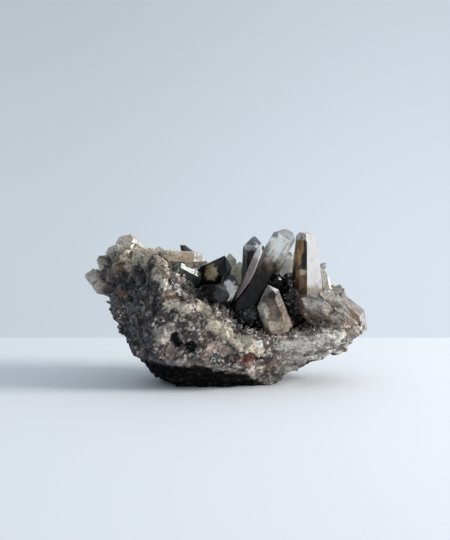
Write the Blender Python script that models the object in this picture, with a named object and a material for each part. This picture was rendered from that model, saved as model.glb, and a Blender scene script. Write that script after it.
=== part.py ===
"""Smoky quartz cluster: a rough, boat-shaped quartz matrix with smoky and clear crystals grown on it.

The matrix is one solid, and each crystal that can be told apart is its own solid, seated on the matrix
with a hairline gap. X runs along the cluster, Y from its front to its back, Z up. The origin is at the
middle of the underside of the whole cluster. Sizes below are in millimetres; the scene is in metres.
"""

from dataclasses import dataclass
from math import cos, radians, sin

import bmesh
import bpy
from mathutils import Matrix, Vector, noise
from mathutils.bvhtree import BVHTree

MM = 0.001
GAP = 0.35  # between two solids that touch

# Quartz: the end faces stand this far off the plane square to the long axis.
END_FACE_SLOPE = radians(51.8)
BREAK_SLOPE = radians(8)  # a broken tip slopes down to the right

# Matrix surface: a voxel size, then broken facets at three scales as (facet size, relief).
MATRIX_VOXEL = 1.5
MATRIX_FINE_VOXEL = 0.9
MATRIX_KEPT = 0.13  # share of the fine faces that the finished matrix keeps
MATRIX_FACETS = ((11.0, 1.5), (5.0, 0.9), (2.6, 0.35))
FACET_TILT = 1.4  # how steeply a facet leans, against how far it is raised
TILT_KEY, RAISE_KEY = 977.0, 613.0  # give each facet's lean and height from its place
BELOW_BASE = -3.0  # the chunks reach this far under the table plane before the flat foot is cut

ON_PLANE = 1e-6  # a corner this near a cutting plane lies on it, in the mesh's own unit

# The matrix is the union of these broken chunks. Each is the hull of its corners.
MATRIX_CHUNKS = {
    "left_block": (
        (-27.5, -15.5, 42.5), (-18, -18.5, 40), (-40, 0.5, 38), (-36.5, 8, 40), (-28, 19, 36.5),
        (-10, 21, 34.5), (-14, -18.5, 33), (-21.5, -21, 8.5), (8, -22.5, 8.5), (-15, -10.5, BELOW_BASE),
        (9.5, -10.5, BELOW_BASE), (-13.5, 10, BELOW_BASE), (7, 11, BELOW_BASE), (-40, -1, 28),
        (-30, 0, 8), (-17, 22, 11), (8, 22, 11),
    ),
    "pocket_wall": (
        (-16, -18.5, 34.5), (-5, -19.5, 27.5), (12.5, -20.5, 16.5), (13, 15, 20), (-9, 19, 33),
        (-6, -21.5, 9), (12, -20.5, 8), (10, 16, 8), (-8, 18, 8),
    ),
    "right_wing": (
        (8, -19.5, 16.5), (26, -16.5, 16.5), (39, -11, 19), (46, -4, 19), (45.5, 4, 20), (42, 9, 22),
        (30, 17, 24), (12, 19, 23), (10.5, -11, BELOW_BASE), (24, -12, 4), (36, -8, 9.5), (44, -4, 13.5),
        (43.5, 5, 14), (35, 12, 10), (8, 11, BELOW_BASE), (22, 15, 5.5),
    ),
    "right_shelf": (
        (20, -4, 15), (27, -6, 24), (34, -5, 24), (37, 5, 25), (26, 11, 28), (17, 8, 26), (34, 4, 15),
    ),
    "back_rise": (
        (-6, 4, 29), (8, 3, 28), (16, 6, 27), (14, 17, 25), (-6, 18, 32), (0, 10, 15), (10, 12, 15),
    ),
    "left_toe": (
        (-38, -1, 27), (-42, 0, 31.5), (-40, -3, 35), (-36, 8, 32), (-30, 2, 26), (-35, -8, 34),
    ),
}


@dataclass(frozen=True)
class Habit:
    """How a kind of crystal is shaped, apart from its place and size.

    Sides and end faces are counted from the left one of an upright crystal, by way of its front.
    """

    depth: float = 1.0  # front to back, as a share of the width
    taper: float = 1.5  # degrees that each side leans in towards the tip
    sides: tuple = (1.0, 0.92, 1.04, 0.96, 1.06, 0.94)  # each side's distance out, in half widths
    ends: tuple = (0.1, 0.35, 0.0, 0.4, 0.05, 0.3)  # how far each end face is set in, in half widths
    worn: float = 0.0  # how much of the point is broken off, in half widths


POINT = Habit()
CHISEL = Habit(ends=(0.35, 0.7, 0.0, 0.0, 0.65, 0.5))
ROOF = Habit(ends=(0.3, 0.0, 0.5, 0.2, 0.1, 0.5), sides=(0.95, 1.05, 0.9, 1.0, 1.05, 0.95))
BLUNT = Habit(taper=3.0, ends=(0.3, 1.0, 0.2, 0.1, 0.9, 0.4))
TAPERED = Habit(
    taper=6.0, ends=(0.0, 0.2, 0.3, 0.4, 0.1, 0.0), sides=(1.0, 1.0, 1.0, 1.0, 0.95, 1.0), worn=0.75
)
LEFT_FACED = Habit(taper=2.0, ends=(1.1, 0.5, 0.0, 0.1, 0.5, 1.0))
RIGHT_FACED = Habit(taper=1.0, ends=(0.0, 0.3, 1.0, 1.0, 0.3, 0.0))
FRONT_FACED = Habit(taper=1.0, ends=(0.2, 1.5, 0.2, 0.1, 0.0, 0.1))
BLADE = Habit(depth=0.45, ends=(0.1, 0.5, 0.3, 0.0, 0.6, 0.4))
SLAB = Habit(depth=1.3, taper=0.5, ends=(0.2, 0.6, 0.5, 0.0, 0.6, 0.4))
STUB = Habit(
    taper=4.0, sides=(1.0, 0.88, 1.08, 1.0, 0.92, 1.05), ends=(0.5, 0.1, 0.8, 0.35, 0.9, 0.2)
)


@dataclass(frozen=True)
class Crystal:
    """One crystal: its buried root, its tip, its width, its turn about its own axis, and its finish."""

    name: str
    root: tuple
    tip: tuple
    width: float
    turn: float
    habit: Habit
    finish: str


ROCK, CLEAR, AMBER = "rock", "clear_quartz", "amber_quartz"
SMOKY, MILKY = "smoky_quartz", "milky_quartz"

# The largest crystals come first: each later one is trimmed where it meets an earlier one.
CRYSTALS = (
    # The tall crystals that stand out of the pocket
    Crystal("clear_tip_crystal", (4.4, -7.4, 22.5), (19.3, -0.6, 47.8), 5.9, 30, CHISEL, CLEAR),
    Crystal("brown_white_crystal", (25.3, 1.0, 20.0), (25.2, 0.0, 47.0), 6.1, 0, TAPERED, AMBER),
    Crystal("dark_capped_crystal", (8.4, 8.6, 24.0), (8.8, 7.8, 44.9), 5.9, 22, ROOF, SMOKY),
    Crystal("black_window_crystal", (-6.6, -5.6, 26.5), (-2.2, -13.6, 41.3), 8.2, 30, LEFT_FACED, SMOKY),
    Crystal("lit_sliver_crystal", (3.9, -8.4, 26.0), (10.5, -6.2, 42.6), 1.7, 20, BLADE, AMBER),
    Crystal("amber_foot_crystal", (20.6, 1.0, 20.0), (22.3, 0.4, 37.0), 4.4, 10, LEFT_FACED, AMBER),
    Crystal("pale_foot_crystal", (31.4, 1.0, 19.0), (28.2, 0.4, 38.0), 4.8, 15, RIGHT_FACED, CLEAR),
    # The stubby crystals at the right end
    Crystal("right_end_crystal", (39.8, 0.5, 15.5), (37.8, -2.2, 28.6), 8.0, 30, RIGHT_FACED, AMBER),
    Crystal("right_chunk_crystal_1", (34.5, -2.5, 16.0), (23.6, -10.8, 28.0), 7.2, 10, STUB, CLEAR),
    Crystal("right_chunk_crystal_2", (37.0, -1.0, 19.0), (29.0, -8.8, 29.2), 6.0, 35, STUB, CLEAR),
    Crystal("right_chunk_crystal_3", (38.6, -3.0, 16.0), (32.4, -10.8, 22.4), 6.0, 20, BLUNT, CLEAR),
    Crystal("amber_shard_crystal", (16.2, -11.6, 18.0), (11.4, -15.6, 31.7), 6.6, 28, LEFT_FACED, AMBER),
    Crystal("brown_recess_crystal", (23.5, -3.0, 15.5), (20.2, -7.6, 30.4), 4.6, 15, POINT, AMBER),
    # The slab along the left ridge and the crystals around it
    Crystal("ridge_slab_crystal", (-28.5, -11.2, 40.6), (-6.8, -12.6, 39.4), 4.5, 0, SLAB, MILKY),
    Crystal("green_blade_crystal", (-3.6, -8.6, 30.4), (-16.2, -16.2, 38.2), 4.0, 10, BLADE, SMOKY),
    Crystal("bright_face_crystal", (-2.8, -6.4, 24.8), (2.0, -13.9, 34.1), 4.9, 30, FRONT_FACED, CLEAR),
    Crystal("grey_flat_crystal", (-8.5, -9.0, 29.0), (0.5, -18.2, 30.2), 5.4, 0, ROOF, SMOKY),
    Crystal("white_gap_crystal", (-6.0, -5.5, 33.0), (-15.2, -13.4, 38.8), 3.2, 0, BLUNT, MILKY),
    # The dark, sparkling clump between the tall crystals
    Crystal("dark_clump_crystal_1", (15.5, 0.0, 22.0), (15.2, -4.6, 35.2), 4.6, 10, POINT, SMOKY),
    Crystal("dark_clump_crystal_2", (19.0, 1.0, 22.0), (19.4, -3.5, 34.4), 4.2, 35, ROOF, SMOKY),
    Crystal("dark_clump_crystal_3", (13.0, -6.0, 18.0), (13.0, -10.8, 28.6), 4.4, 20, POINT, SMOKY),
    Crystal("dark_clump_crystal_4", (7.0, -9.0, 18.0), (6.6, -16.4, 25.0), 4.4, 0, ROOF, SMOKY),
    # The pale crystals behind the pocket
    Crystal("pale_back_crystal_1", (2.6, 12.4, 26.0), (1.3, 12.0, 39.1), 3.2, 0, POINT, MILKY),
    Crystal("pale_back_crystal_2", (4.6, 11.0, 26.0), (4.2, 11.4, 36.4), 3.2, 20, ROOF, MILKY),
    Crystal("pale_back_crystal_3", (15.4, 8.6, 26.0), (20.8, 8.4, 39.9), 4.0, 10, POINT, CLEAR),
    Crystal("pale_back_crystal_4", (29.6, 6.4, 24.0), (32.0, 5.6, 32.2), 5.0, 0, ROOF, CLEAR),
    Crystal("pale_back_crystal_5", (33.6, 4.4, 21.0), (36.2, 3.6, 30.0), 4.8, 30, POINT, CLEAR),
    Crystal("side_spur_crystal", (26.8, 5.6, 32.0), (31.9, 5.2, 36.6), 1.8, 0, POINT, CLEAR),
    # The left end
    Crystal("left_back_crystal_1", (-30.4, 12.4, 33.0), (-33.0, 14.0, 44.7), 6.2, 15, BLUNT, MILKY),
    Crystal("left_back_crystal_2", (-26.8, 11.5, 33.0), (-29.0, 13.4, 43.0), 5.4, 40, ROOF, MILKY),
    Crystal("left_back_crystal_3", (-32.6, 5.0, 34.0), (-36.6, 5.4, 42.0), 5.2, 10, BLUNT, MILKY),
    Crystal("left_tip_crystal_1", (-36.0, 0.6, 31.6), (-44.4, -2.2, 33.4), 4.8, 10, ROOF, MILKY),
    Crystal("left_tip_crystal_2", (-36.0, -2.0, 29.5), (-42.0, -4.6, 30.6), 3.8, 30, POINT, MILKY),
    Crystal("left_tip_crystal_3", (-35.0, -1.0, 35.0), (-40.2, -3.4, 39.2), 4.2, 0, ROOF, MILKY),
    Crystal("ridge_back_crystal_1", (-6.4, 12.6, 34.0), (-15.3, 12.0, 41.3), 3.2, 0, LEFT_FACED, SMOKY),
    Crystal("ridge_back_crystal_2", (-20.0, 10.0, 34.0), (-22.0, 10.0, 41.4), 3.6, 25, ROOF, CLEAR),
    # The back slope
    Crystal("rear_crystal_1", (-17.0, 14.5, 27.0), (-20.0, 24.8, 36.4), 6.4, 0, POINT, SMOKY),
    Crystal("rear_crystal_2", (-5.0, 14.5, 24.0), (-4.0, 24.2, 33.0), 5.4, 20, ROOF, CLEAR),
    Crystal("rear_crystal_3", (6.5, 13.0, 19.0), (8.5, 24.0, 29.0), 6.0, 35, CHISEL, SMOKY),
    Crystal("rear_crystal_4", (18.0, 12.0, 18.0), (21.5, 23.0, 29.6), 5.6, 10, POINT, CLEAR),
    Crystal("rear_crystal_5", (29.0, 10.5, 18.0), (36.0, 19.5, 27.4), 5.2, 0, ROOF, AMBER),
    Crystal("rear_crystal_6", (-27.5, 14.5, 27.5), (-33.5, 23.0, 35.0), 5.0, 30, POINT, MILKY),
)

# Finish: linear base colour, roughness, share of light let through.
FINISHES = {
    ROCK: ((0.11, 0.10, 0.095), 0.6, 0.0),
    CLEAR: ((0.62, 0.62, 0.57), 0.05, 0.9),
    AMBER: ((0.30, 0.20, 0.11), 0.08, 0.7),
    SMOKY: ((0.035, 0.032, 0.03), 0.05, 0.5),
    MILKY: ((0.50, 0.48, 0.44), 0.2, 0.5),
}
QUARTZ_INDEX = 1.54  # refractive index


def clear_scene():
    """Removes every object that is already there."""
    for old in list(bpy.data.objects):
        bpy.data.objects.remove(old, do_unlink=True)


def principled(name):
    """A plain material for a finish, made once."""
    if name in bpy.data.materials:
        return bpy.data.materials[name]
    colour, roughness, through = FINISHES[name]
    material = bpy.data.materials.new(name)
    material.use_nodes = True
    shader = material.node_tree.nodes["Principled BSDF"]
    shader.inputs["Base Color"].default_value = (*colour, 1.0)
    shader.inputs["Roughness"].default_value = roughness
    shader.inputs["Metallic"].default_value = 0.0
    shader.inputs["Transmission Weight"].default_value = through
    shader.inputs["IOR"].default_value = QUARTZ_INDEX
    return material


def add_object(name, mesh, finish):
    """A new object of this mesh, with its finish."""
    made = bpy.data.objects.new(name, mesh)
    made.data.materials.clear()
    made.data.materials.append(principled(finish))
    bpy.context.scene.collection.objects.link(made)
    return made


def mesh_of(name, bm):
    """The finished mesh of a bmesh, in metres."""
    bmesh.ops.recalc_face_normals(bm, faces=bm.faces)
    mesh = bpy.data.meshes.new(name)
    bm.to_mesh(mesh)
    bm.free()
    mesh.transform(Matrix.Scale(MM, 4))
    return mesh


def as_helper(made):
    """A cutter or a guide: it is neither a part nor rendered."""
    made.hide_render = True
    made.display_type = "WIRE"
    return made


def evaluated_mesh(made):
    """The object's mesh with its modifiers applied."""
    graph = bpy.context.evaluated_depsgraph_get()
    return bpy.data.meshes.new_from_object(made.evaluated_get(graph), depsgraph=graph)


# ---------------------------------------------------------------- matrix


def facet_offset(point, size):
    """Relief of broken facets: each cell of space is a tilted plane at its own height, -1 to 1."""
    centre = noise.voronoi(point / size)[1][0]
    tilt = noise.cell_vector(centre * TILT_KEY) - Vector((0.5, 0.5, 0.5))
    height = noise.cell(centre * RAISE_KEY) - 0.5
    return height + FACET_TILT * tilt.dot(point / size - centre)


def hull_of(corners):
    """The convex hull of these corners."""
    bm = bmesh.new()
    for corner in corners:
        bm.verts.new(corner)
    bmesh.ops.convex_hull(bm, input=bm.verts)
    inner = [vertex for vertex in bm.verts if not vertex.link_faces]
    bmesh.ops.delete(bm, geom=inner, context="VERTS")
    return bm


def joined_chunks():
    """All chunks in one mesh, voxel-remeshed into a single closed skin."""
    whole = bmesh.new()
    for name, corners in MATRIX_CHUNKS.items():
        chunk = mesh_of(name, hull_of(corners))
        whole.from_mesh(chunk)
        bpy.data.meshes.remove(chunk)
    mesh = bpy.data.meshes.new("chunks")
    whole.to_mesh(mesh)
    whole.free()
    chunks = add_object("chunks", mesh, ROCK)
    skin = chunks.modifiers.new("one_skin", "REMESH")
    skin.mode = "VOXEL"
    skin.voxel_size = MATRIX_VOXEL * MM
    softened = chunks.modifiers.new("worn_corners", "SMOOTH")
    softened.factor = 0.5
    softened.iterations = 3
    made = evaluated_mesh(chunks)
    bpy.data.objects.remove(chunks)
    return made


def break_surface(mesh):
    """Moves each point of the skin along its normal to the facets that the rock broke into."""
    moved = []
    for vertex in mesh.vertices:
        point = vertex.co / MM
        offset = sum(relief * facet_offset(point, size) for size, relief in MATRIX_FACETS)
        moved.append(vertex.co + vertex.normal * offset * MM)
    for vertex, place in zip(mesh.vertices, moved):
        vertex.co = place


def cut_flat_foot(mesh, height):
    """Removes what is below a height and closes the cut with one flat face."""
    bm = bmesh.new()
    bm.from_mesh(mesh)
    everything = bm.verts[:] + bm.edges[:] + bm.faces[:]
    under, at = (0, 0, -1), (0, 0, height * MM)
    bmesh.ops.bisect_plane(
        bm, geom=everything, dist=ON_PLANE, plane_co=at, plane_no=under, clear_outer=True
    )
    rim = [e for e in bm.edges if e.is_boundary]
    bmesh.ops.triangle_fill(bm, edges=rim, use_beauty=True, normal=under)
    bmesh.ops.recalc_face_normals(bm, faces=bm.faces)
    bm.to_mesh(mesh)
    bm.free()


def build_matrix():
    """The matrix, and a slightly larger copy of it that clears the crystals' seats."""
    skin = joined_chunks()
    break_surface(skin)
    rough = add_object("rough_matrix", skin, ROCK)
    untangled = rough.modifiers.new("untangled", "REMESH")
    untangled.mode = "VOXEL"
    untangled.voxel_size = MATRIX_FINE_VOXEL * MM
    fewer = rough.modifiers.new("fewer_faces", "DECIMATE")
    fewer.ratio = MATRIX_KEPT
    mesh = evaluated_mesh(rough)
    bpy.data.objects.remove(rough)
    keep_largest_piece(mesh)
    matrix_mesh = mesh.copy()
    cut_flat_foot(matrix_mesh, 0.0)
    matrix = add_object("matrix", matrix_mesh, ROCK)
    for vertex, normal in [(v, v.normal.copy()) for v in mesh.vertices]:
        vertex.co += normal * GAP * MM
    clearance = as_helper(add_object("matrix_clearance", mesh, ROCK))
    return matrix, clearance


# ---------------------------------------------------------------- crystals


def cut_to_plane(bm, distance, normal):
    """Cuts a convex bmesh back to a plane at a distance from its origin, and closes the cut."""
    everything = bm.verts[:] + bm.edges[:] + bm.faces[:]
    at = normal * distance
    cut = bmesh.ops.bisect_plane(
        bm, geom=everything, dist=ON_PLANE, plane_co=at, plane_no=normal, clear_outer=True
    )
    rim = [e for e in cut["geom_cut"] if isinstance(e, bmesh.types.BMEdge)]
    if len(rim) > 2:
        bmesh.ops.contextual_create(bm, geom=rim)


def crystal_bmesh(crystal):
    """A six-sided quartz point with its tip at the origin and its root below it."""
    length = (Vector(crystal.tip) - Vector(crystal.root)).length
    half = crystal.width / 2
    habit = crystal.habit
    lean = radians(habit.taper)
    bm = bmesh.new()
    bmesh.ops.create_cube(bm, size=6 * length)
    for i in range(6):
        angle = radians(60 * i + crystal.turn)
        outward = Vector((cos(angle), sin(angle), 0))
        across = abs(outward.x) + habit.depth * (1 - abs(outward.x))
        side = outward * cos(lean) + Vector((0, 0, sin(lean)))
        cut_to_plane(bm, half * habit.sides[i] * across, side)
        end = outward * sin(END_FACE_SLOPE) + Vector((0, 0, cos(END_FACE_SLOPE)))
        cut_to_plane(bm, (1 - habit.ends[i]) * half * cos(END_FACE_SLOPE), end)
    if habit.worn:
        top = max(vertex.co.z for vertex in bm.verts)
        break_face = Vector((-sin(BREAK_SLOPE), 0, cos(BREAK_SLOPE)))
        cut_to_plane(bm, (top - habit.worn * half) * break_face.z, break_face)
    top = max(vertex.co.z for vertex in bm.verts)
    bmesh.ops.translate(bm, verts=bm.verts, vec=(0, 0, -top))
    cut_to_plane(bm, length, Vector((0, 0, -1)))
    bmesh.ops.recalc_face_normals(bm, faces=bm.faces)
    return bm


def grown_copy(convex, by):
    """The convex bmesh with each of its faces moved out."""
    grown = bmesh.new()
    reach = max(vertex.co.length for vertex in convex.verts)
    bmesh.ops.create_cube(grown, size=4 * reach)
    for face in convex.faces:
        cut_to_plane(grown, face.normal.dot(face.verts[0].co) + by, face.normal)
    return grown


def placed(crystal):
    """The transform that stands a crystal in its place: tip at its tip, local y to the front."""
    along = (Vector(crystal.tip) - Vector(crystal.root)).normalized()
    left = along.cross(Vector((0, 1, 0))).normalized()
    turned = Matrix((left, along.cross(left), along)).transposed().to_4x4()
    return Matrix.Translation(Vector(crystal.tip) * MM) @ turned


def crystal_object(crystal, name, grown=0.0):
    """A crystal in its place, or a copy of it grown by some millimetres all round."""
    shape = crystal_bmesh(crystal)
    if grown:
        exact, shape = shape, grown_copy(shape, grown)
        exact.free()
    made = add_object(name, mesh_of(name, shape), crystal.finish)
    made.data.transform(placed(crystal))
    return made


def meet(first, second):
    """True if the surfaces of two objects cross."""
    trees = []
    for made in (first, second):
        bm = bmesh.new()
        bm.from_mesh(made.data)
        trees.append(BVHTree.FromBMesh(bm))
        bm.free()
    return bool(trees[0].overlap(trees[1]))


def keep_largest_piece(mesh):
    """Deletes every loose piece but the largest, such as a chip cut off by a bump of the matrix."""
    bm = bmesh.new()
    bm.from_mesh(mesh)
    unseen = set(bm.faces)
    pieces = []
    while unseen:
        piece = {unseen.pop()}
        edge_of_piece = list(piece)
        while edge_of_piece:
            face = edge_of_piece.pop()
            found = {f for e in face.edges for f in e.link_faces} & unseen
            unseen -= found
            piece |= found
            edge_of_piece.extend(found)
        pieces.append(piece)
    pieces.sort(key=lambda piece: sum(f.calc_area() for f in piece))
    chips = [face for piece in pieces[:-1] for face in piece]
    bmesh.ops.delete(bm, geom=chips, context="FACES")
    bm.to_mesh(mesh)
    bm.free()


def seat(made, cutters):
    """Trims a crystal where it meets the matrix and its larger neighbours."""
    for cutter in cutters:
        trim = made.modifiers.new(cutter.name, "BOOLEAN")
        trim.operation = "DIFFERENCE"
        trim.object = cutter
    trimmed = evaluated_mesh(made)
    made.modifiers.clear()
    keep_largest_piece(trimmed)
    made.data = trimmed


def build_crystals(matrix_clearance):
    """Every crystal, trimmed to its seat on the matrix and against the ones made before it."""
    crystals, clearances = [], []
    for crystal in CRYSTALS:
        made = crystal_object(crystal, crystal.name)
        neighbours = [c for c in clearances if meet(made, c)]
        clearances.append(as_helper(crystal_object(crystal, crystal.name + "_clearance", GAP)))
        seat(made, [matrix_clearance, *neighbours])
        crystals.append(made)
    return crystals


# ---------------------------------------------------------------- whole


def centre_on_foot(parts):
    """Moves the whole cluster so that the origin is below the middle of its box, at its foot."""
    corners = [vertex.co for part in parts for vertex in part.data.vertices]
    middle = [(min(c[k] for c in corners) + max(c[k] for c in corners)) / 2 for k in (0, 1)]
    foot = min(c.z for c in corners)
    for part in parts:
        part.data.transform(Matrix.Translation((-middle[0], -middle[1], -foot)))


def main():
    """Builds the matrix and its crystals, and leaves nothing else in the scene."""
    clear_scene()
    matrix, clearance = build_matrix()
    crystals = build_crystals(clearance)
    helpers = [o for o in bpy.data.objects if o.hide_render]
    for helper in helpers:
        bpy.data.objects.remove(helper)
    centre_on_foot([matrix, *crystals])


if __name__ == "__main__":
    main()
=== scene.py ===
"""Looks of a smoky quartz cluster: broken matrix, grown crystals and small druse, on a pale studio table.

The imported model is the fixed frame. Every crystal and the matrix get a finer piece that stands for the
CAD solid, and small druse crystals cover the bare ground between them. Lengths are in metres.
"""

import logging
import math
from collections.abc import Callable, Sequence
from dataclasses import dataclass, field
from enum import Enum

import bmesh
import bpy
import numpy as np
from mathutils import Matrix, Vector, noise


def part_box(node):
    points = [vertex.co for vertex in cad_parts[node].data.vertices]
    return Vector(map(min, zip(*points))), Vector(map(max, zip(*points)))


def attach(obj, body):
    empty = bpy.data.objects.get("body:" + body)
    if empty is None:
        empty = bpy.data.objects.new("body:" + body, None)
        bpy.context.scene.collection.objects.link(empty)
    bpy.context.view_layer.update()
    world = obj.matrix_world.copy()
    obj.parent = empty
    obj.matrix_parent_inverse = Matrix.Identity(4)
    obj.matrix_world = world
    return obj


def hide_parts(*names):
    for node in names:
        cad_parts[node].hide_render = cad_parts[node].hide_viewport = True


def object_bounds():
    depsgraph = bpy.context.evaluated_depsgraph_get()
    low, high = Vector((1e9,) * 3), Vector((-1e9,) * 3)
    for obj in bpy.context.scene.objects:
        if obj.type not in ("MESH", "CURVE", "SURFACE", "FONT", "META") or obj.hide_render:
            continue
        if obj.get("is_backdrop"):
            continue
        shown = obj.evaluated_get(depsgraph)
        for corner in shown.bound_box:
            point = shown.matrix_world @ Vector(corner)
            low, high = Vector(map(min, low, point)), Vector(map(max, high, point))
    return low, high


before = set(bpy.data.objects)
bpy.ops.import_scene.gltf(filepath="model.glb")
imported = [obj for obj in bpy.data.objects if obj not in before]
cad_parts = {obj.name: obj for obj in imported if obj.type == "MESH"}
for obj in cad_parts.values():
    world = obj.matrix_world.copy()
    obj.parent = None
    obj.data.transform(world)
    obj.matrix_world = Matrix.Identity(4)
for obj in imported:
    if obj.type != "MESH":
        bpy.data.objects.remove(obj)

MM = 0.001
LOG = logging.getLogger("quartz_cluster")

Colour = tuple[float, float, float]
Point = tuple[float, float, float]
Stops = tuple[tuple[float, float], ...]


def shade(red: int, green: int, blue: int) -> Colour:
    """Turns a display colour of 0 to 255 into the linear colour that a shader takes.

    Args:
        red: Display red.
        green: Display green.
        blue: Display blue.

    Returns:
        The linear red, green and blue.
    """
    out = []
    for value in (red, green, blue):
        share = value / 255
        out.append(share / 12.92 if share <= 0.04045 else ((share + 0.055) / 1.055) ** 2.4)
    return out[0], out[1], out[2]


def smooth(values: np.ndarray, low: float, high: float) -> np.ndarray:
    """Eases from 0 at low to 1 at high.

    Args:
        values: What is compared.
        low: Where the result is 0.
        high: Where the result is 1. It may lie under low.

    Returns:
        The eased share of each value.
    """
    share = np.clip((values - low) / (high - low), 0.0, 1.0)
    return share * share * (3 - 2 * share)


def blend_to(colours: np.ndarray, target: Sequence[float], share: np.ndarray) -> np.ndarray:
    """Moves each colour some share of the way to a target colour.

    Args:
        colours: One row for each point.
        target: The colour to move to.
        share: How far each row moves, 0 to 1.

    Returns:
        The moved colours.
    """
    return colours + (np.asarray(target)[None, :] - colours) * share[:, None]


def paint(mesh: bpy.types.Mesh, colours: np.ndarray, domain: str) -> None:
    """Stores colours as the mesh's tint, which the finishes read.

    Args:
        mesh: The mesh.
        colours: One linear colour a row.
        domain: POINT or CORNER, which a row is for.
    """
    tint = mesh.attributes.new("tint", "FLOAT_COLOR", domain)
    rows = np.concatenate([colours, np.ones((len(colours), 1))], axis=1)
    tint.data.foreach_set("color", rows.astype(np.float32).ravel())


def mark_along(mesh: bpy.types.Mesh, values: np.ndarray) -> None:
    """Stores each point's place along its crystal, in millimetres, for the growth lines."""
    line = mesh.attributes.new("along", "FLOAT", "POINT")
    line.data.foreach_set("value", values.astype(np.float32))


def placed(mesh: bpy.types.Mesh) -> bpy.types.Object:
    """Puts a mesh in the scene.

    Args:
        mesh: The mesh.

    Returns:
        The object that holds it, with its name.
    """
    made = bpy.data.objects.new(mesh.name, mesh)
    bpy.context.scene.collection.objects.link(made)
    return made


@dataclass(frozen=True)
class Step:
    """An eased step of a value, from 0 at low to 1 at high."""

    low: float
    high: float

    def of(self, values: np.ndarray) -> np.ndarray:
        """The eased share of each value."""
        return smooth(values, self.low, self.high)


class Draw(Enum):
    """Keys that give each use of a cell pattern its own random numbers."""

    HOLE = 977.0
    GRAIN_TILT = 613.0
    BLOCK_HEIGHT = 331.0
    BLOCK_TILT = 457.0
    CHIP_HEIGHT = 151.0
    CHIP_TILT = 271.0
    SLIVER_HEIGHT = 223.0
    SLIVER_TILT = 389.0
    PLATE_HEIGHT = 233.0
    PLATE_TILT = 431.0
    CREST_CHIP = 97.0
    DEEP_CHIP = 59.0
    BROWN_BLOCK = 47.0
    GREY_BLOCK = 53.0
    WING_BLOCK = 29.0
    WING_PLATE = 37.0
    FLANK_SLIVER = 67.0
    FOOT_PLATE = 83.0


class Cells:
    """Voronoi cells of space around a set of points, with the same random numbers for each cell every run."""

    def __init__(self, points: np.ndarray, size: float, stretch: Point = (1.0, 1.0, 1.0)) -> None:
        """Looks up the nearest cells.

        Args:
            points: One point a row, in metres.
            size: Cell size in metres.
            stretch: How much longer the cells are along each axis.
        """
        scaled = points / (size * np.asarray(stretch))
        near, second, centres = [], [], []
        for point in scaled:
            spread, found = noise.voronoi(point)
            near.append(spread[0])
            second.append(spread[1])
            centres.append(found[0])
        self.near = np.array(near)
        self.rim = np.array(second) - self.near
        self.centre = np.array(centres)
        self.local = scaled - self.centre

    def lot(self, draw: Draw) -> np.ndarray:
        """A number from -1 to 1 for each point, the same throughout its cell."""
        return np.array([noise.cell(Vector(c) * draw.value) for c in self.centre])

    def lean(self, draw: Draw) -> np.ndarray:
        """How far each point stands above its cell's centre on a tilted facet, about -1 to 1."""
        tilt = np.array([noise.cell_vector(Vector(c) * draw.value) for c in self.centre]) - 0.5
        return (tilt * self.local).sum(axis=1) * 2


@dataclass(frozen=True)
class Waves:
    """Layers of smooth noise. Each has a strength, a bump size in metres and a seed of its own."""

    layers: tuple[tuple[float, float, float], ...]

    def at(self, points: np.ndarray) -> np.ndarray:
        """Adds up the layers.

        Args:
            points: One point a row, in metres.

        Returns:
            A value for each point, about -1 to 1 for one layer of strength 1.
        """
        total = np.zeros(len(points))
        for strength, size, seed in self.layers:
            shift = Vector((seed, -seed, seed * 0.5))
            total += strength * np.array([noise.noise(Vector(p) / size + shift) for p in points])
        return total


@dataclass(frozen=True)
class Extent:
    """The box of the CAD solids, which places on the cluster are given in shares of."""

    low: np.ndarray
    high: np.ndarray

    @property
    def span(self) -> np.ndarray:
        """The box's width, depth and height."""
        return self.high - self.low

    def shares(self, points: np.ndarray) -> np.ndarray:
        """Points in metres as shares of the box."""
        return (points - self.low) / self.span


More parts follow.
